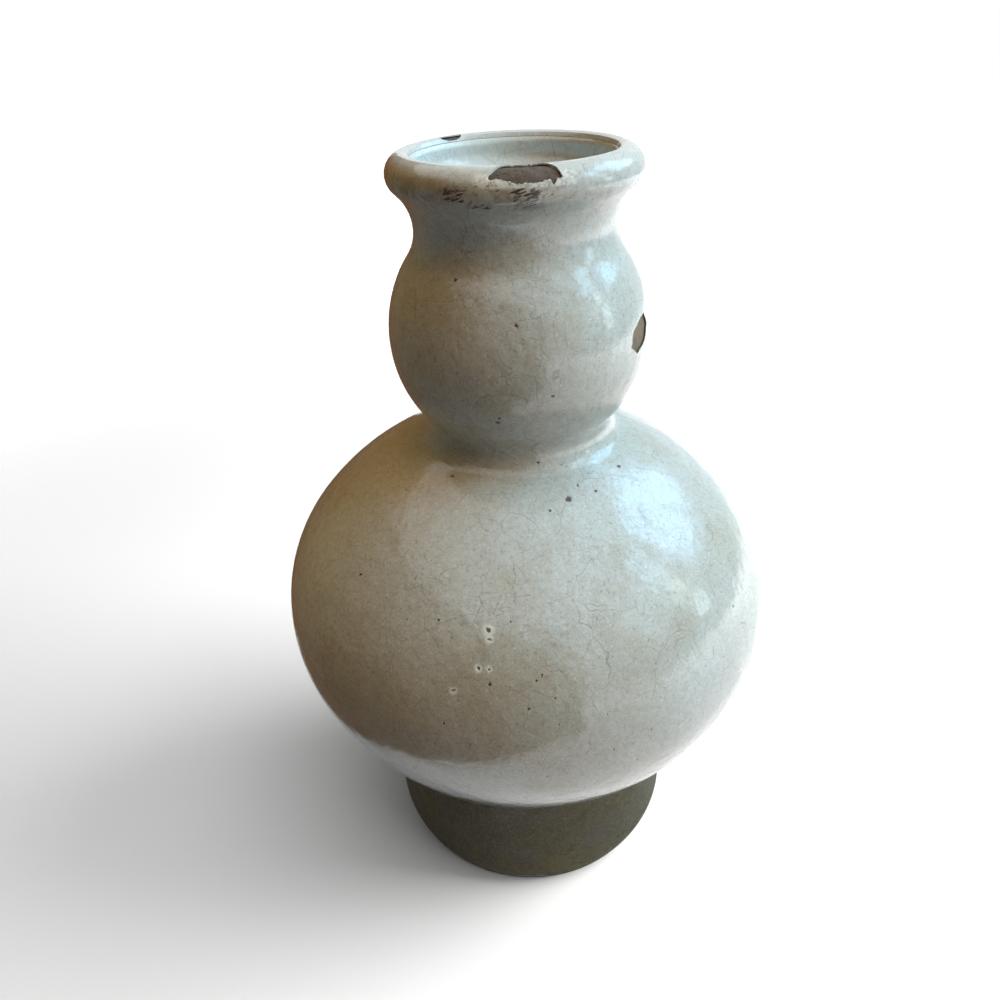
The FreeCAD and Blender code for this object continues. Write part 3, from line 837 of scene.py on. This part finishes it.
def chip_cutters(line):
    """The cutters of the three chips."""
    s, shape = settings("vase_chips"), line.shape
    lip = line.arcs["lip"].centre.x
    front_inner = lip - shape.edge_round * CHIP_EDGE_SHARE
    front_outer = lip + (shape.lip_roll + shape.glaze_coat)
    back_inner = line.mouth_radius - shape.glaze_coat
    return [
        bulb_chip_cutter(line),
        rim_chip_cutter(line, s.rim_chip_turn, s.rim_chip_width, front_inner, front_outer,
                        RIM_CHIP_FLOOR_SHARES, s.rim_chip_depth, seed=1.7),
        rim_chip_cutter(line, s.back_chip_turn, s.back_chip_width, back_inner, lip,
                        BACK_CHIP_FLOOR_SHARES, s.back_chip_depth, seed=4.1),
    ]


# Materials


def feed(made, inputs):
    """Links a node's inputs to sockets, or sets them to plain values."""
    for name, value in inputs.items():
        if isinstance(value, bpy.types.NodeSocket):
            made.id_data.links.new(value, made.inputs[name])
        else:
            made.inputs[name].default_value = value


def builder(tree):
    """A short function that adds a node with its settings and inputs to a tree."""

    def node(kind, inputs=None, **settings_of_node):
        made = tree.nodes.new(kind)
        for name, setting in settings_of_node.items():
            setattr(made, name, setting)
        feed(made, inputs or {})
        return made

    return node


def emptied(owner):
    """The node tree of a material or a world, with nothing in it."""
    owner.use_nodes = True
    owner.node_tree.nodes.clear()
    return owner.node_tree


class Finish:
    """A procedural material that reads the object's own coordinates."""

    def __init__(self, name):
        self.material = bpy.data.materials.get(name) or bpy.data.materials.new(name)
        self.node = builder(emptied(self.material))
        self.shader = self.node("ShaderNodeBsdfPrincipled")
        self.node("ShaderNodeOutputMaterial", {"Surface": self.shader.outputs[0]})
        self.place = self.node("ShaderNodeTexCoord").outputs["Object"]

    def math(self, operation, *values):
        """A sum of one to three values."""
        return self.node("ShaderNodeMath", dict(enumerate(values)), operation=operation).outputs[0]

    def vector(self, operation, first, second):
        """A sum of two vectors, or of one and a number that scales it."""
        inputs = {0: first, "Scale" if operation == "SCALE" else 1: second}
        made = self.node("ShaderNodeVectorMath", inputs, operation=operation)
        return made.outputs["Value" if operation == "DISTANCE" else "Vector"]

    def product(self, *masks):
        """Several masks multiplied."""
        made = masks[0]
        for mask in masks[1:]:
            made = self.math("MULTIPLY", made, mask)
        return made

    def most(self, masks):
        """The highest of several masks."""
        highest = masks[0]
        for mask in masks[1:]:
            highest = self.math("MAXIMUM", highest, mask)
        return highest

    def noise(self, size, detail, roughness, place=None, output=0):
        """A noise whose lumps are about a size across."""
        vector = place or self.place
        inputs = {"Scale": 1 / size, "Detail": detail, "Roughness": roughness, "Vector": vector}
        return self.node("ShaderNodeTexNoise", inputs).outputs[output]

    def patches(self, size, detail, roughness, low, high, most=1.0, least=0.0, place=None):
        """Where a noise rises from one level to another."""
        return self.ramp(self.noise(size, detail, roughness, place), low, high, least, most)

    def cells(self, size, feature, place=None):
        """Cells about a size across."""
        inputs = {"Scale": 1 / size, "Vector": place or self.place}
        return self.node("ShaderNodeTexVoronoi", inputs, feature=feature)

    def bent(self, size, shift, place=None):
        """Coordinates shifted to and fro by a noise."""
        wave = self.noise(size, *BEND_NOISE, place, output=1)
        centred = self.vector("SUBTRACT", wave, (0.5, 0.5, 0.5))
        return self.vector("ADD", place or self.place, self.vector("SCALE", centred, shift))

    def ramp(self, value, low, high, start=0.0, end=1.0):
        """A value eased from one level to another."""
        inputs = {"Value": value, "From Min": low, "From Max": high, "To Min": start, "To Max": end}
        return self.node("ShaderNodeMapRange", inputs, interpolation_type="SMOOTHSTEP").outputs[0]

    def beside(self, turn, middle, out, full, least=0.0):
        """1 near a turn, and falling to the least at a number of degrees beside it."""
        away = self.math("ABSOLUTE", self.math("SUBTRACT", turn, middle))
        return self.ramp(away, out, full, least)

    def blend(self, share, first, second):
        """One colour blended into another, each a socket or a plain colour."""
        inputs = {"Factor": share}
        for place, tone in ((6, first), (7, second)):
            inputs[place] = tone if isinstance(tone, bpy.types.NodeSocket) else (*tone, 1)
        return self.node("ShaderNodeMix", inputs, data_type="RGBA").outputs[2]

    def spot(self, centre, radius, place):
        """A mask that is 1 within a radius of a point."""
        away = self.vector("DISTANCE", place, tuple(centre))
        return self.ramp(away, radius * (1 + MARK_SOFTNESS), radius * (1 - MARK_SOFTNESS))

    def bump(self, height, distance, under=None):
        """Relief from a height that runs from 0 to 1, over a distance in metres."""
        inputs = {"Strength": 1, "Distance": distance, "Height": height}
        if under:
            inputs["Normal"] = under
        return self.node("ShaderNodeBump", inputs).outputs["Normal"]

    def round_the_axis(self):
        """The turn from the front towards the right in degrees, and the height."""
        parts = self.node("ShaderNodeSeparateXYZ", {0: self.place}).outputs
        turn = self.math("ARCTAN2", parts["X"], self.math("MULTIPLY", parts["Y"], -1))
        return self.math("DEGREES", turn), parts["Z"]


def crackle_lines(finish):
    """The crackle: long cracks, shorter ones within them and a faint web, each fading in and out."""
    long_place = finish.bent(*LONG_BEND)
    places = {"long": long_place, "fine": finish.bent(*FINE_BEND, long_place)}
    lines = []
    for bend, size, width, fade, weight in CRACKLE_ROWS:
        away = finish.cells(size, "DISTANCE_TO_EDGE", places[bend]).outputs["Distance"]
        line = finish.ramp(away, width * CRACK_SOFTNESS, width * CRACK_CORE)
        lines.append(finish.product(line, finish.patches(*fade), weight))
    return finish.most(lines)


def pinhole_marks(finish):
    """Pinholes and iron specks: each row's mask and how dark it is."""
    marks = []
    for size, share, radius, darkness in PINHOLES:
        cells = finish.cells(size, "F1")
        parts = finish.node("ShaderNodeSeparateColor", {0: cells.outputs["Color"]}).outputs
        chosen = finish.math("LESS_THAN", parts[0], share)
        reach = finish.math("MULTIPLY_ADD", parts[1], radius, radius / 2)
        hole = finish.math("LESS_THAN", cells.outputs["Distance"], reach)
        marks.append((finish.product(hole, chosen), darkness))
    return marks


def glaze_finish(name, line, inside=False):
    """Thick crackle glaze: mottled off-white, fawn in places, cracked, pitted and stained."""
    c = settings("vase_colours")
    finish = Finish(name)
    turn, height = finish.round_the_axis()
    body = tuple(c.glaze)
    for tone, layer in GLAZE_LAYERS:
        body = finish.blend(finish.patches(*layer), body, tuple(getattr(c, tone)))
    specks = finish.patches(*PALE_SPECKS, place=finish.bent(*SPECK_BEND))
    body = finish.blend(specks, body, PALE_EDGE_AND_HIGHLIGHT)
    if inside:
        # Painted light: the inside made paler and bluer, as if lit by the cool lamps on the right.
        body = finish.blend(INSIDE_PAINTED_LIGHT_SHARE, body, INSIDE_PAINTED_LIGHT)
    else:
        body = lip_colours(finish, body, turn, height, line)

    lines = crackle_lines(finish)
    body = finish.blend(finish.product(lines, CRACK_DARKNESS), body, tuple(c.crackle))
    marks = []
    for mark, darkness in pinhole_marks(finish):
        body = finish.blend(finish.product(mark, darkness), body, tuple(c.stain))
        marks.append(mark)
    if not inside:
        body, flaws = located_marks(finish, body, line)
        marks.append(flaws)

    relief = finish.bump(finish.noise(*WAVES), WAVE_HEIGHT)
    relief = finish.bump(finish.noise(*PEEL), PEEL_HEIGHT, relief)
    relief = finish.bump(finish.math("SUBTRACT", 1, lines), CRACK_DEPTH, relief)
    relief = finish.bump(finish.math("SUBTRACT", 1, finish.most(marks)), PIT_DEPTH, relief)
    feed(finish.shader, {
        "Base Color": body,
        "Roughness": finish.patches(*GLAZE_POLISH),
        "IOR": GLAZE_IOR,
        "Coat Weight": COAT_WEIGHT,
        "Coat Roughness": COAT_ROUGHNESS,
        "Normal": relief,
    })
    return finish.material


def lip_colours(finish, body, turn, height, line):
    """The lip's colours: paler on top as painted light, fawn and darker under its roll as painted shade, the
    fawn partly the glaze's own, with the chip's pale edge.
    """
    c, s = settings("vase_colours"), settings("vase_chips")
    top = line.edge_height + line.shape.edge_round
    roll = line.shape.lip_roll

    def below(span, shares):
        """A mask over heights below the top, given as shares of a span."""
        begins, full = shares
        return finish.ramp(height, top - span * begins, top - span * full)

    # Paler on the lip's upturned top: painted light.
    painted_light_on_top = finish.product(below(roll, LIT_LIP_TOP_SHARES), LIP_TOP_PAINTED_LIGHT)
    body = finish.blend(painted_light_on_top, body, tuple(c.glaze_pale))
    # Under the lip's roll: fawn, partly painted shade on the left, and painted shade heavier on the front and
    # left.
    under = finish.product(*(below(roll, shares) for shares in SHADED_UNDER_LIP_SHARES))
    left = finish.math("MULTIPLY_ADD", finish.ramp(turn, *FAWN_SHADE_TURNS), FAWN_SHADE_MORE, FAWN_LEAST)
    body = finish.blend(finish.product(under, finish.patches(*LIP_FAWN), left), body, tuple(c.glaze_fawn))
    # Painted shade under the roll, darker away from the lamps.
    painted_shade = finish.product(under, finish.patches(*LIP_PAINTED_SHADE), finish.ramp(turn, *PAINTED_SHADE_TURNS))
    body = finish.blend(painted_shade, body, tuple(c.crackle))
    body = streaked(finish, body, turn, height, line)

    half = math.degrees(s.rim_chip_width / 2 / line.arcs["lip"].centre.x)
    near = finish.beside(turn, s.rim_chip_turn, *(half * share for share in FRINGE_WIDTH_SHARES))
    level = finish.product(*(below(s.rim_chip_depth, shares) for shares in FRINGE_DEPTH_SHARES))
    return finish.blend(finish.product(near, level, finish.patches(*FRINGE)), body, PALE_EDGE_AND_HIGHLIGHT)


def streaked(finish, body, turn, height, line):
    """Streaks below the lip: dirt caught in scratches that climb a little to the right."""
    c, s = settings("vase_colours"), settings("vase_chips")
    top = line.edge_height + line.shape.edge_round
    fade = line.shape.lip_roll * STREAK_FADE
    degree = line.shape.neck_radius * math.radians(1)
    unrolled = finish.node("ShaderNodeCombineXYZ", {"X": finish.product(turn, degree), "Y": height})
    slanted = finish.node("ShaderNodeMapping", {
        "Vector": unrolled.outputs[0],
        "Rotation": (0, 0, math.radians(s.streak_slant)),
        "Scale": (s.streak_stretch, 1, 1),
    }, vector_type="TEXTURE")
    patches = []
    for middle, half, low, high, strength in STREAKS:
        near = finish.beside(turn, middle, half, half * STREAK_CORE)
        rising = finish.ramp(height, top - low - fade, top - low + fade)
        falling = finish.ramp(height, top - high + fade, top - high - fade)
        patches.append(finish.product(near, rising, falling, strength))
    region = finish.most(patches)
    scratch = finish.noise(s.streak_size, *SCRATCH_NOISE, slanted.outputs[0])
    cut = finish.math("SUBTRACT", SCRATCH_CUT, finish.product(region, SCRATCH_DENSER))
    dark = finish.ramp(finish.math("SUBTRACT", scratch, cut), 0, SCRATCH_EDGE)
    dark = finish.product(dark, finish.ramp(region, *SCRATCH_REGION), SCRATCH_DARKNESS)
    smear = finish.product(region, finish.patches(*SMEAR, place=slanted.outputs[0]))
    body = finish.blend(smear, body, tuple(c.chip))
    return finish.blend(dark, body, tuple(c.stain))


def located_marks(finish, body, line):
    """Flaws that each have a place: iron flecks, and blistered pits with pale rims."""
    c = settings("vase_colours")
    wandering = finish.bent(*MARK_BEND)
    flaws = []
    for turn, height, radius, tone in FLECKS:
        mark = finish.spot(on_surface(line, turn, height), radius, wandering)
        body = finish.blend(finish.product(mark, FLECK_STRENGTH), body, tuple(getattr(c, tone)))
        flaws.append(mark)
    for turn, height, radius in PITS:
        centre = on_surface(line, turn, height)
        rim = finish.spot(centre, radius * RIM_SHARE, wandering)
        hole = finish.spot(centre, radius * HOLE_SHARE, wandering)
        body = finish.blend(finish.product(rim, RIM_STRENGTH), body, PALE_EDGE_AND_HIGHLIGHT)
        body = finish.blend(finish.product(hole, HOLE_STRENGTH), body, tuple(c.stain))
        flaws.append(hole)
    return body, finish.most(flaws)


def on_surface(line, turn, height):
    """A point on the outer glaze at a turn and a height."""
    for name in ("base", "equator", "crown", "waist", "bulb", "neck", "lip"):
        arc = line.arcs[name]
        inside = arc.bend < 0
        if abs(height - arc.centre.y) > arc.radius(0):
            continue
        point = arc.at_height(0, height, inside=inside)
        if line.covers(name, height):
            return on_cylinder(turn, point.x, height)
    raise ValueError(f"no glaze at {height}")


def clay_finish(name, dark, light, grain, rings=False, worn=False):
    """Bare fired clay: dull, grainy and specked, with turning marks, and a pale worn edge that is also a
    painted highlight at the front, if it has them.
    """
    c = settings("vase_colours")
    dark, light = tuple(getattr(c, dark)), tuple(getattr(c, light))
    finish = Finish(name)
    turn, height = finish.round_the_axis()
    clouds = finish.noise(*CLAY_CLOUDS)
    grains = finish.noise(grain, *GRAIN_NOISE)
    body = finish.blend(finish.ramp(clouds, *CLOUD_LEVELS), dark, light)
    body = finish.blend(finish.patches(*CLAY_PATCHES), body, tuple(PATCH_SHADE * part for part in dark))
    body = finish.blend(finish.ramp(grains, *GRAIN_LEVELS), body, light)
    shadows = finish.patches(grain * SHADOW_SIZE, *SHADOW_NOISE)
    body = finish.blend(shadows, body, tuple(SHADOW_SHADE * part for part in dark))
    if worn:
        # Pale band low on the foot: wear all round, and a painted highlight strongest at the front.
        bands = [finish.ramp(height, WORN_AND_HIGHLIT_HEIGHT * begins, WORN_AND_HIGHLIT_HEIGHT * full)
                 for begins, full in WORN_AND_HIGHLIT_SHARES]
        near = finish.beside(turn, WORN_AND_HIGHLIT_TURN, *WORN_AND_HIGHLIT_BESIDE, WORN_AND_HIGHLIT_LEAST)
        rubbed_and_highlit = finish.product(*bands, finish.ramp(grains, *WORN_AND_HIGHLIT_GRAINS), near)
        body = finish.blend(rubbed_and_highlit, body, PALE_EDGE_AND_HIGHLIGHT)
    dullness = finish.ramp(clouds, *CLAY_DULLNESS)
    relief = finish.bump(grains, grain * GRAIN_RELIEF)
    if rings:
        squeezed = finish.node("ShaderNodeMapping", {"Vector": finish.place, "Scale": RING_SQUEEZE})
        turning = finish.noise(RING_SIZE, *RING_NOISE, squeezed.outputs[0])
        relief = finish.bump(turning, RING_DEPTH, relief)
    feed(finish.shader, {"Base Color": body, "Roughness": dullness, "Normal": relief})
    return finish.material


# Stage


def facing(point, aim):
    """A turn that points an object's -Z axis from a point at an aim."""
    return (Vector(aim) - Vector(point)).to_track_quat("-Z", "Y").to_euler()


def along(turn, climb, distance, height):
    """A point seen from the vase at a turn from the front towards the right and a climb, in degrees."""
    up = math.radians(climb)
    flat = on_cylinder(turn, distance * math.cos(up), 0)
    return flat + Vector((0, 0, height + distance * math.sin(up)))


def softbox(name, turn, climb, wide, tall, light, distance, height, lights_on=None):
    """A soft lamp seen from the vase: one that glaze mirrors, or one that lights a collection."""
    lamp = bpy.data.lights.new(name, "AREA")
    lamp.shape = "RECTANGLE"
    lamp.size = 2 * distance * math.tan(math.radians(wide) / 2)
    lamp.size_y = 2 * distance * math.tan(math.radians(tall) / 2)
    brightness = max(light)
    lamp.energy = brightness * math.pi * lamp.size * lamp.size_y
    lamp.color = [part / brightness for part in light]
    holder = bpy.data.objects.new(name, lamp)
    holder.location = along(turn, climb, distance, height)
    holder.rotation_euler = facing(holder.location, (0, 0, height))
    holder.visible_camera = False
    holder.visible_glossy = lights_on is None
    holder.visible_diffuse = lights_on is not None
    holder.light_linking.receiver_collection = lights_on
    bpy.context.scene.collection.objects.link(holder)


def shown_or_lighting(node, lighting, shown, output):
    """Ends a tree: one shader lights the vase, and the other is what views and reflections show."""
    path = node("ShaderNodeLightPath").outputs
    rays = path["Is Camera Ray"]
    for kind in ("Is Glossy Ray", "Is Transmission Ray"):
        rays = node("ShaderNodeMath", {0: rays, 1: path[kind]}, operation="MAXIMUM").outputs[0]
    mix = node("ShaderNodeMixShader", {0: rays, 1: lighting.outputs[0], 2: shown.outputs[0]})
    node(output, {"Surface": mix.outputs[0]})


def floor_finish(studio):
    """Pale matt floor that reaches white in view and keeps the vase's shadow."""
    material = bpy.data.materials.new("studio_floor")
    node = builder(emptied(material))
    matt = node("ShaderNodeBsdfDiffuse", {"Color": (*studio.floor, 1)})
    seen = node("ShaderNodeBsdfDiffuse", {"Color": (*studio.floor_seen, 1)})
    place = node("ShaderNodeTexCoord").outputs["Object"]
    away = node("ShaderNodeVectorMath", {0: place}, operation="LENGTH")
    far = node("ShaderNodeMapRange", {
        "Value": away.outputs["Value"],
        "From Min": studio.glow_near,
        "From Max": studio.glow_far,
        "To Min": studio.floor_glow,
    }, interpolation_type="SMOOTHSTEP")
    glow = node("ShaderNodeEmission", {"Strength": far.outputs[0]})
    lifted = node("ShaderNodeAddShader", {0: seen.outputs[0], 1: glow.outputs[0]})
    shown_or_lighting(node, matt, lifted, "ShaderNodeOutputMaterial")
    return material


def light_world(studio):
    """A white surround in view, and hardly any light from it on the vase."""
    world = bpy.data.worlds.new("studio")
    bpy.context.scene.world = world
    node = builder(emptied(world))
    fill = node("ShaderNodeBackground", {"Color": (*studio.fill, 1)})
    white = node("ShaderNodeBackground", {"Color": WHITE})
    shown_or_lighting(node, fill, white, "ShaderNodeOutputWorld")


def brown_card(studio):
    """A dull brown card on the left, bent up from the floor, that only reflections show."""
    near = [on_cylinder(turn, reach, CARD_LIFT) for turn, reach in CARD_EDGE]
    foot = [on_cylinder(turn, studio.card_distance, CARD_LIFT) for turn, _ in CARD_EDGE]
    top = [point + Vector((0, 0, studio.card_height)) for point in foot]
    rows = [near, foot, top]
    wide = len(near)
    faces = []
    for row in range(len(rows) - 1):
        for here in range(row * wide, row * wide + wide - 1):
            faces.append((here, here + 1, here + wide + 1, here + wide))
    mesh = bpy.data.meshes.new("brown_card")
    mesh.from_pydata([tuple(point) for row in rows for point in row], [], faces)
    card = bpy.data.objects.new("brown_card", mesh)
    bpy.context.scene.collection.objects.link(card)
    material = bpy.data.materials.new("brown_card")
    node = builder(emptied(material))
    glow = node("ShaderNodeEmission", {"Color": (*studio.card, 1)})
    node("ShaderNodeOutputMaterial", {"Surface": glow.outputs[0]})
    mesh.materials.append(material)
    card.visible_camera = False
    card.visible_diffuse = False
    card.visible_shadow = False


class Studio(bpy.types.PropertyGroup):
    """The floor, the lamps and the surround."""

    floor: colour("Floor", "Colour that the floor throws back at the vase", (0.205, 0.235, 0.252))
    floor_seen: colour("Floor in view", "Colour of the floor in view", (1.0, 1.0, 1.0))
    floor_glow: number("Floor glow", "What lifts the floor by the vase to white", 0.0)
    glow_near: length("Glow near", "Distance from the axis at which the floor's glow begins to rise", 0.45)
    glow_far: length("Glow far", "Distance at which the floor glows white", 1.6)
    fill: colour("Fill", "Faint light of the surround", (0.006, 0.006, 0.006))
    card: colour("Card", "Light of the brown card in reflections", (0.15, 0.065, 0.028))
    card_distance: length("Card distance", "How far from the axis the card bends up", 1.1)
    card_height: length("Card height", "Height of the card's upright part", 1.2)
    lamp_distance: length("Lamp distance", "How far the lamps stand from the axis", 1.6)
    lamp_aim: length("Lamp aim", "Height that the lamps point at", 0.2)
    camera_distance: length("Camera distance", "How far the camera stands in front of the axis", 0.3501)
    camera_height: length("Camera height", "Height of the camera", 0.4415)
    camera_turn: number("Camera turn", "Degrees that the camera turns to the right", -2.020)
    camera_drop: number("Camera drop", "Degrees that the camera looks down", 32.484)
    camera_roll: number("Camera roll", "Degrees that the camera leans", -2.675)
    camera_lens: number("Camera lens", "Focal length in millimetres on a 36 mm sensor", 28)


class VASE_OT_stage(bpy.types.Operator):
    """Set up the floor, the lamps, the surround and the camera"""

    bl_idname = "gourd_vase.stage"
    bl_label = "Stage"

    def execute(self, context):
        studio = settings("vase_studio")
        scene = context.scene
        scene.view_settings.view_transform = "Standard"
        light_world(studio)
        mesh = bpy.data.meshes.new("floor")
        half = FLOOR_HALF
        corners = [(-half, -half, 0), (half, -half, 0), (half, half, 0), (-half, half, 0)]
        mesh.from_pydata(corners, [], [(0, 1, 2, 3)])
        mesh.materials.append(floor_finish(studio))
        floor = bpy.data.objects.new("floor", mesh)
        floor.location.z = -FLOOR_DROP
        scene.collection.objects.link(floor)
        brown_card(studio)
        only_floor = bpy.data.collections.new("only_floor")
        only_floor.objects.link(floor)
        all_but_floor = bpy.data.collections.new("all_but_floor")
        all_but_floor.objects.link(floor)
        all_but_floor.collection_objects[0].light_linking.link_state = "EXCLUDE"
        for lamps, lights_on in ((WINDOWS, None), (SKIES, all_but_floor), (FLOOR_SKIES, only_floor)):
            for lamp in lamps:
                softbox(*lamp, studio.lamp_distance, studio.lamp_aim, lights_on)
        lens = bpy.data.cameras.new("camera")
        lens.sensor_width = SENSOR
        lens.lens = studio.camera_lens
        camera = bpy.data.objects.new("camera", lens)
        turn = Matrix.Rotation(math.radians(-studio.camera_turn), 4, "Z")
        drop = Matrix.Rotation(math.radians(90 - studio.camera_drop), 4, "X")
        roll = Matrix.Rotation(math.radians(studio.camera_roll), 4, "Z")
        place = Matrix.Translation((0, -studio.camera_distance, studio.camera_height))
        camera.matrix_world = place @ turn @ drop @ roll
        scene.collection.objects.link(camera)
        scene.camera = camera
        return {"FINISHED"}


# Pieces


class VASE_OT_outer_glaze(bpy.types.Operator):
    """Turn the outer glaze and chip it at the mouth and on the upper bulb"""

    bl_idname = "gourd_vase.outer_glaze"
    bl_label = "Outer glaze"

    def execute(self, context):
        line, fineness = VaseLine(settings("vase_shape")), settings("vase_mesh")
        finish = glaze_finish("crackle_glaze", line)
        skin = turned("glaze_skin", glaze_outline(line), True, finish,
                      fineness.skin_segments, fineness.wobble)
        outward(skin)
        cut_away(skin, chip_cutters(line))
        fit_on(skin, "outer_glaze")
        return {"FINISHED"}


class VASE_OT_liner(bpy.types.Operator):
    """Turn the glaze inside the mouth and the upper bulb"""

    bl_idname = "gourd_vase.liner"
    bl_label = "Liner glaze"

    def execute(self, context):
        line = VaseLine(settings("vase_shape"))
        finish = glaze_finish("liner_glaze", line, inside=True)
        liner = turned("mouth_liner", liner_outline(line), True, finish)
        fit_on(liner, "liner_glaze")
        return {"FINISHED"}


class VASE_OT_foot(bpy.types.Operator):
    """Turn the bare clay foot"""

    bl_idname = "gourd_vase.foot"
    bl_label = "Foot"

    def execute(self, context):
        line = VaseLine(settings("vase_shape"))
        finish = clay_finish("foot_clay", "clay", "clay_light", FOOT_GRAIN, rings=True, worn=True)
        foot = turned("foot_clay", foot_outline(line), False, finish, settings("vase_mesh").segments)
        fit_on(foot, "foot")
        return {"FINISHED"}


class VASE_OT_chipped_clay(bpy.types.Operator):
    """Turn the clay of the rim and the upper bulb, rough where the chips lay it bare"""

    bl_idname = "gourd_vase.chipped_clay"
    bl_label = "Chipped clay"

    def execute(self, context):
        line, s = VaseLine(settings("vase_shape")), settings("vase_chips")
        finish = clay_finish("chipped_clay", "chip", "chip_light", CHIP_GRAIN)
        top = line.edge_height
        rim = turned("rim_clay", rim_outline(line), True, finish, CHIPPED_SEGMENTS)
        reach = line.arcs["lip"].centre.x
        roughen(rim, s.clay_roughness, s.clay_grain, [
            (on_cylinder(s.rim_chip_turn, reach, top), s.rim_chip_width),
            (on_cylinder(s.back_chip_turn, reach, top), s.back_chip_width),
        ])
        fit_on(rim, "mouth_rim")
        # The bulb's chip clay is painted lighter than the rim's: painted light.
        bared_painted_lighter = clay_finish("bulb_chip_clay", "bulb_chip", "clay_light", CHIP_GRAIN)
        outline = clay_outline(line, "waist bulb neck", line.waist_height, line.neck_height)
        bulb = turned("bulb_clay", outline, True, bared_painted_lighter, CHIPPED_SEGMENTS)
        middle = on_surface(line, s.bulb_chip_turn, line.bulb_height + s.bulb_chip_rise)
        roughen(bulb, s.clay_roughness, s.clay_grain, [(middle, s.bulb_chip_width)])
        fit_on(bulb, "upper_bulb")
        return {"FINISHED"}


class VASE_OT_hidden_clay(bpy.types.Operator):
    """Give the clay under the glaze of the belly its finish"""

    bl_idname = "gourd_vase.hidden_clay"
    bl_label = "Hidden clay"

    def execute(self, context):
        finish = clay_finish("inner_clay", "clay", "clay_light", FOOT_GRAIN, rings=True)
        for name in ("lower_bowl", "shoulder"):
            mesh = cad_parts[name].data
            mesh.materials.clear()
            mesh.materials.append(finish)
        return {"FINISHED"}


OPERATORS = (
    VASE_OT_stage,
    VASE_OT_hidden_clay,
    VASE_OT_foot,
    VASE_OT_chipped_clay,
    VASE_OT_liner,
    VASE_OT_outer_glaze,
)
GROUPS = {
    "vase_shape": VaseShape,
    "vase_mesh": VaseMesh,
    "vase_colours": VaseColours,
    "vase_chips": VaseChips,
    "vase_studio": Studio,
}


class VASE_PT_sidebar(bpy.types.Panel):
    """Buttons for the vase's pieces and the stage"""

    bl_idname = "VASE_PT_sidebar"
    bl_label = "Gourd vase"
    bl_space_type = "VIEW_3D"
    bl_region_type = "UI"
    bl_category = "Gourd vase"

    def draw(self, context):
        column = self.layout.column()
        for operator in OPERATORS:
            column.operator(operator.bl_idname)


def register():
    """Adds the classes and the scene's settings."""
    for group in GROUPS.values():
        bpy.utils.register_class(group)
    for name, group in GROUPS.items():
        setattr(bpy.types.Scene, name, bpy.props.PointerProperty(type=group))
    for operator in OPERATORS:
        bpy.utils.register_class(operator)
    bpy.utils.register_class(VASE_PT_sidebar)


def unregister():
    """Takes them away again."""
    bpy.utils.unregister_class(VASE_PT_sidebar)
    for operator in reversed(OPERATORS):
        bpy.utils.unregister_class(operator)
    for name in GROUPS:
        delattr(bpy.types.Scene, name)
    for group in reversed(GROUPS.values()):
        bpy.utils.unregister_class(group)


def main():
    register()
    for operator in OPERATORS:
        family, name = operator.bl_idname.split(".")
        getattr(getattr(bpy.ops, family), name)()


if __name__ == "__main__":
    main()
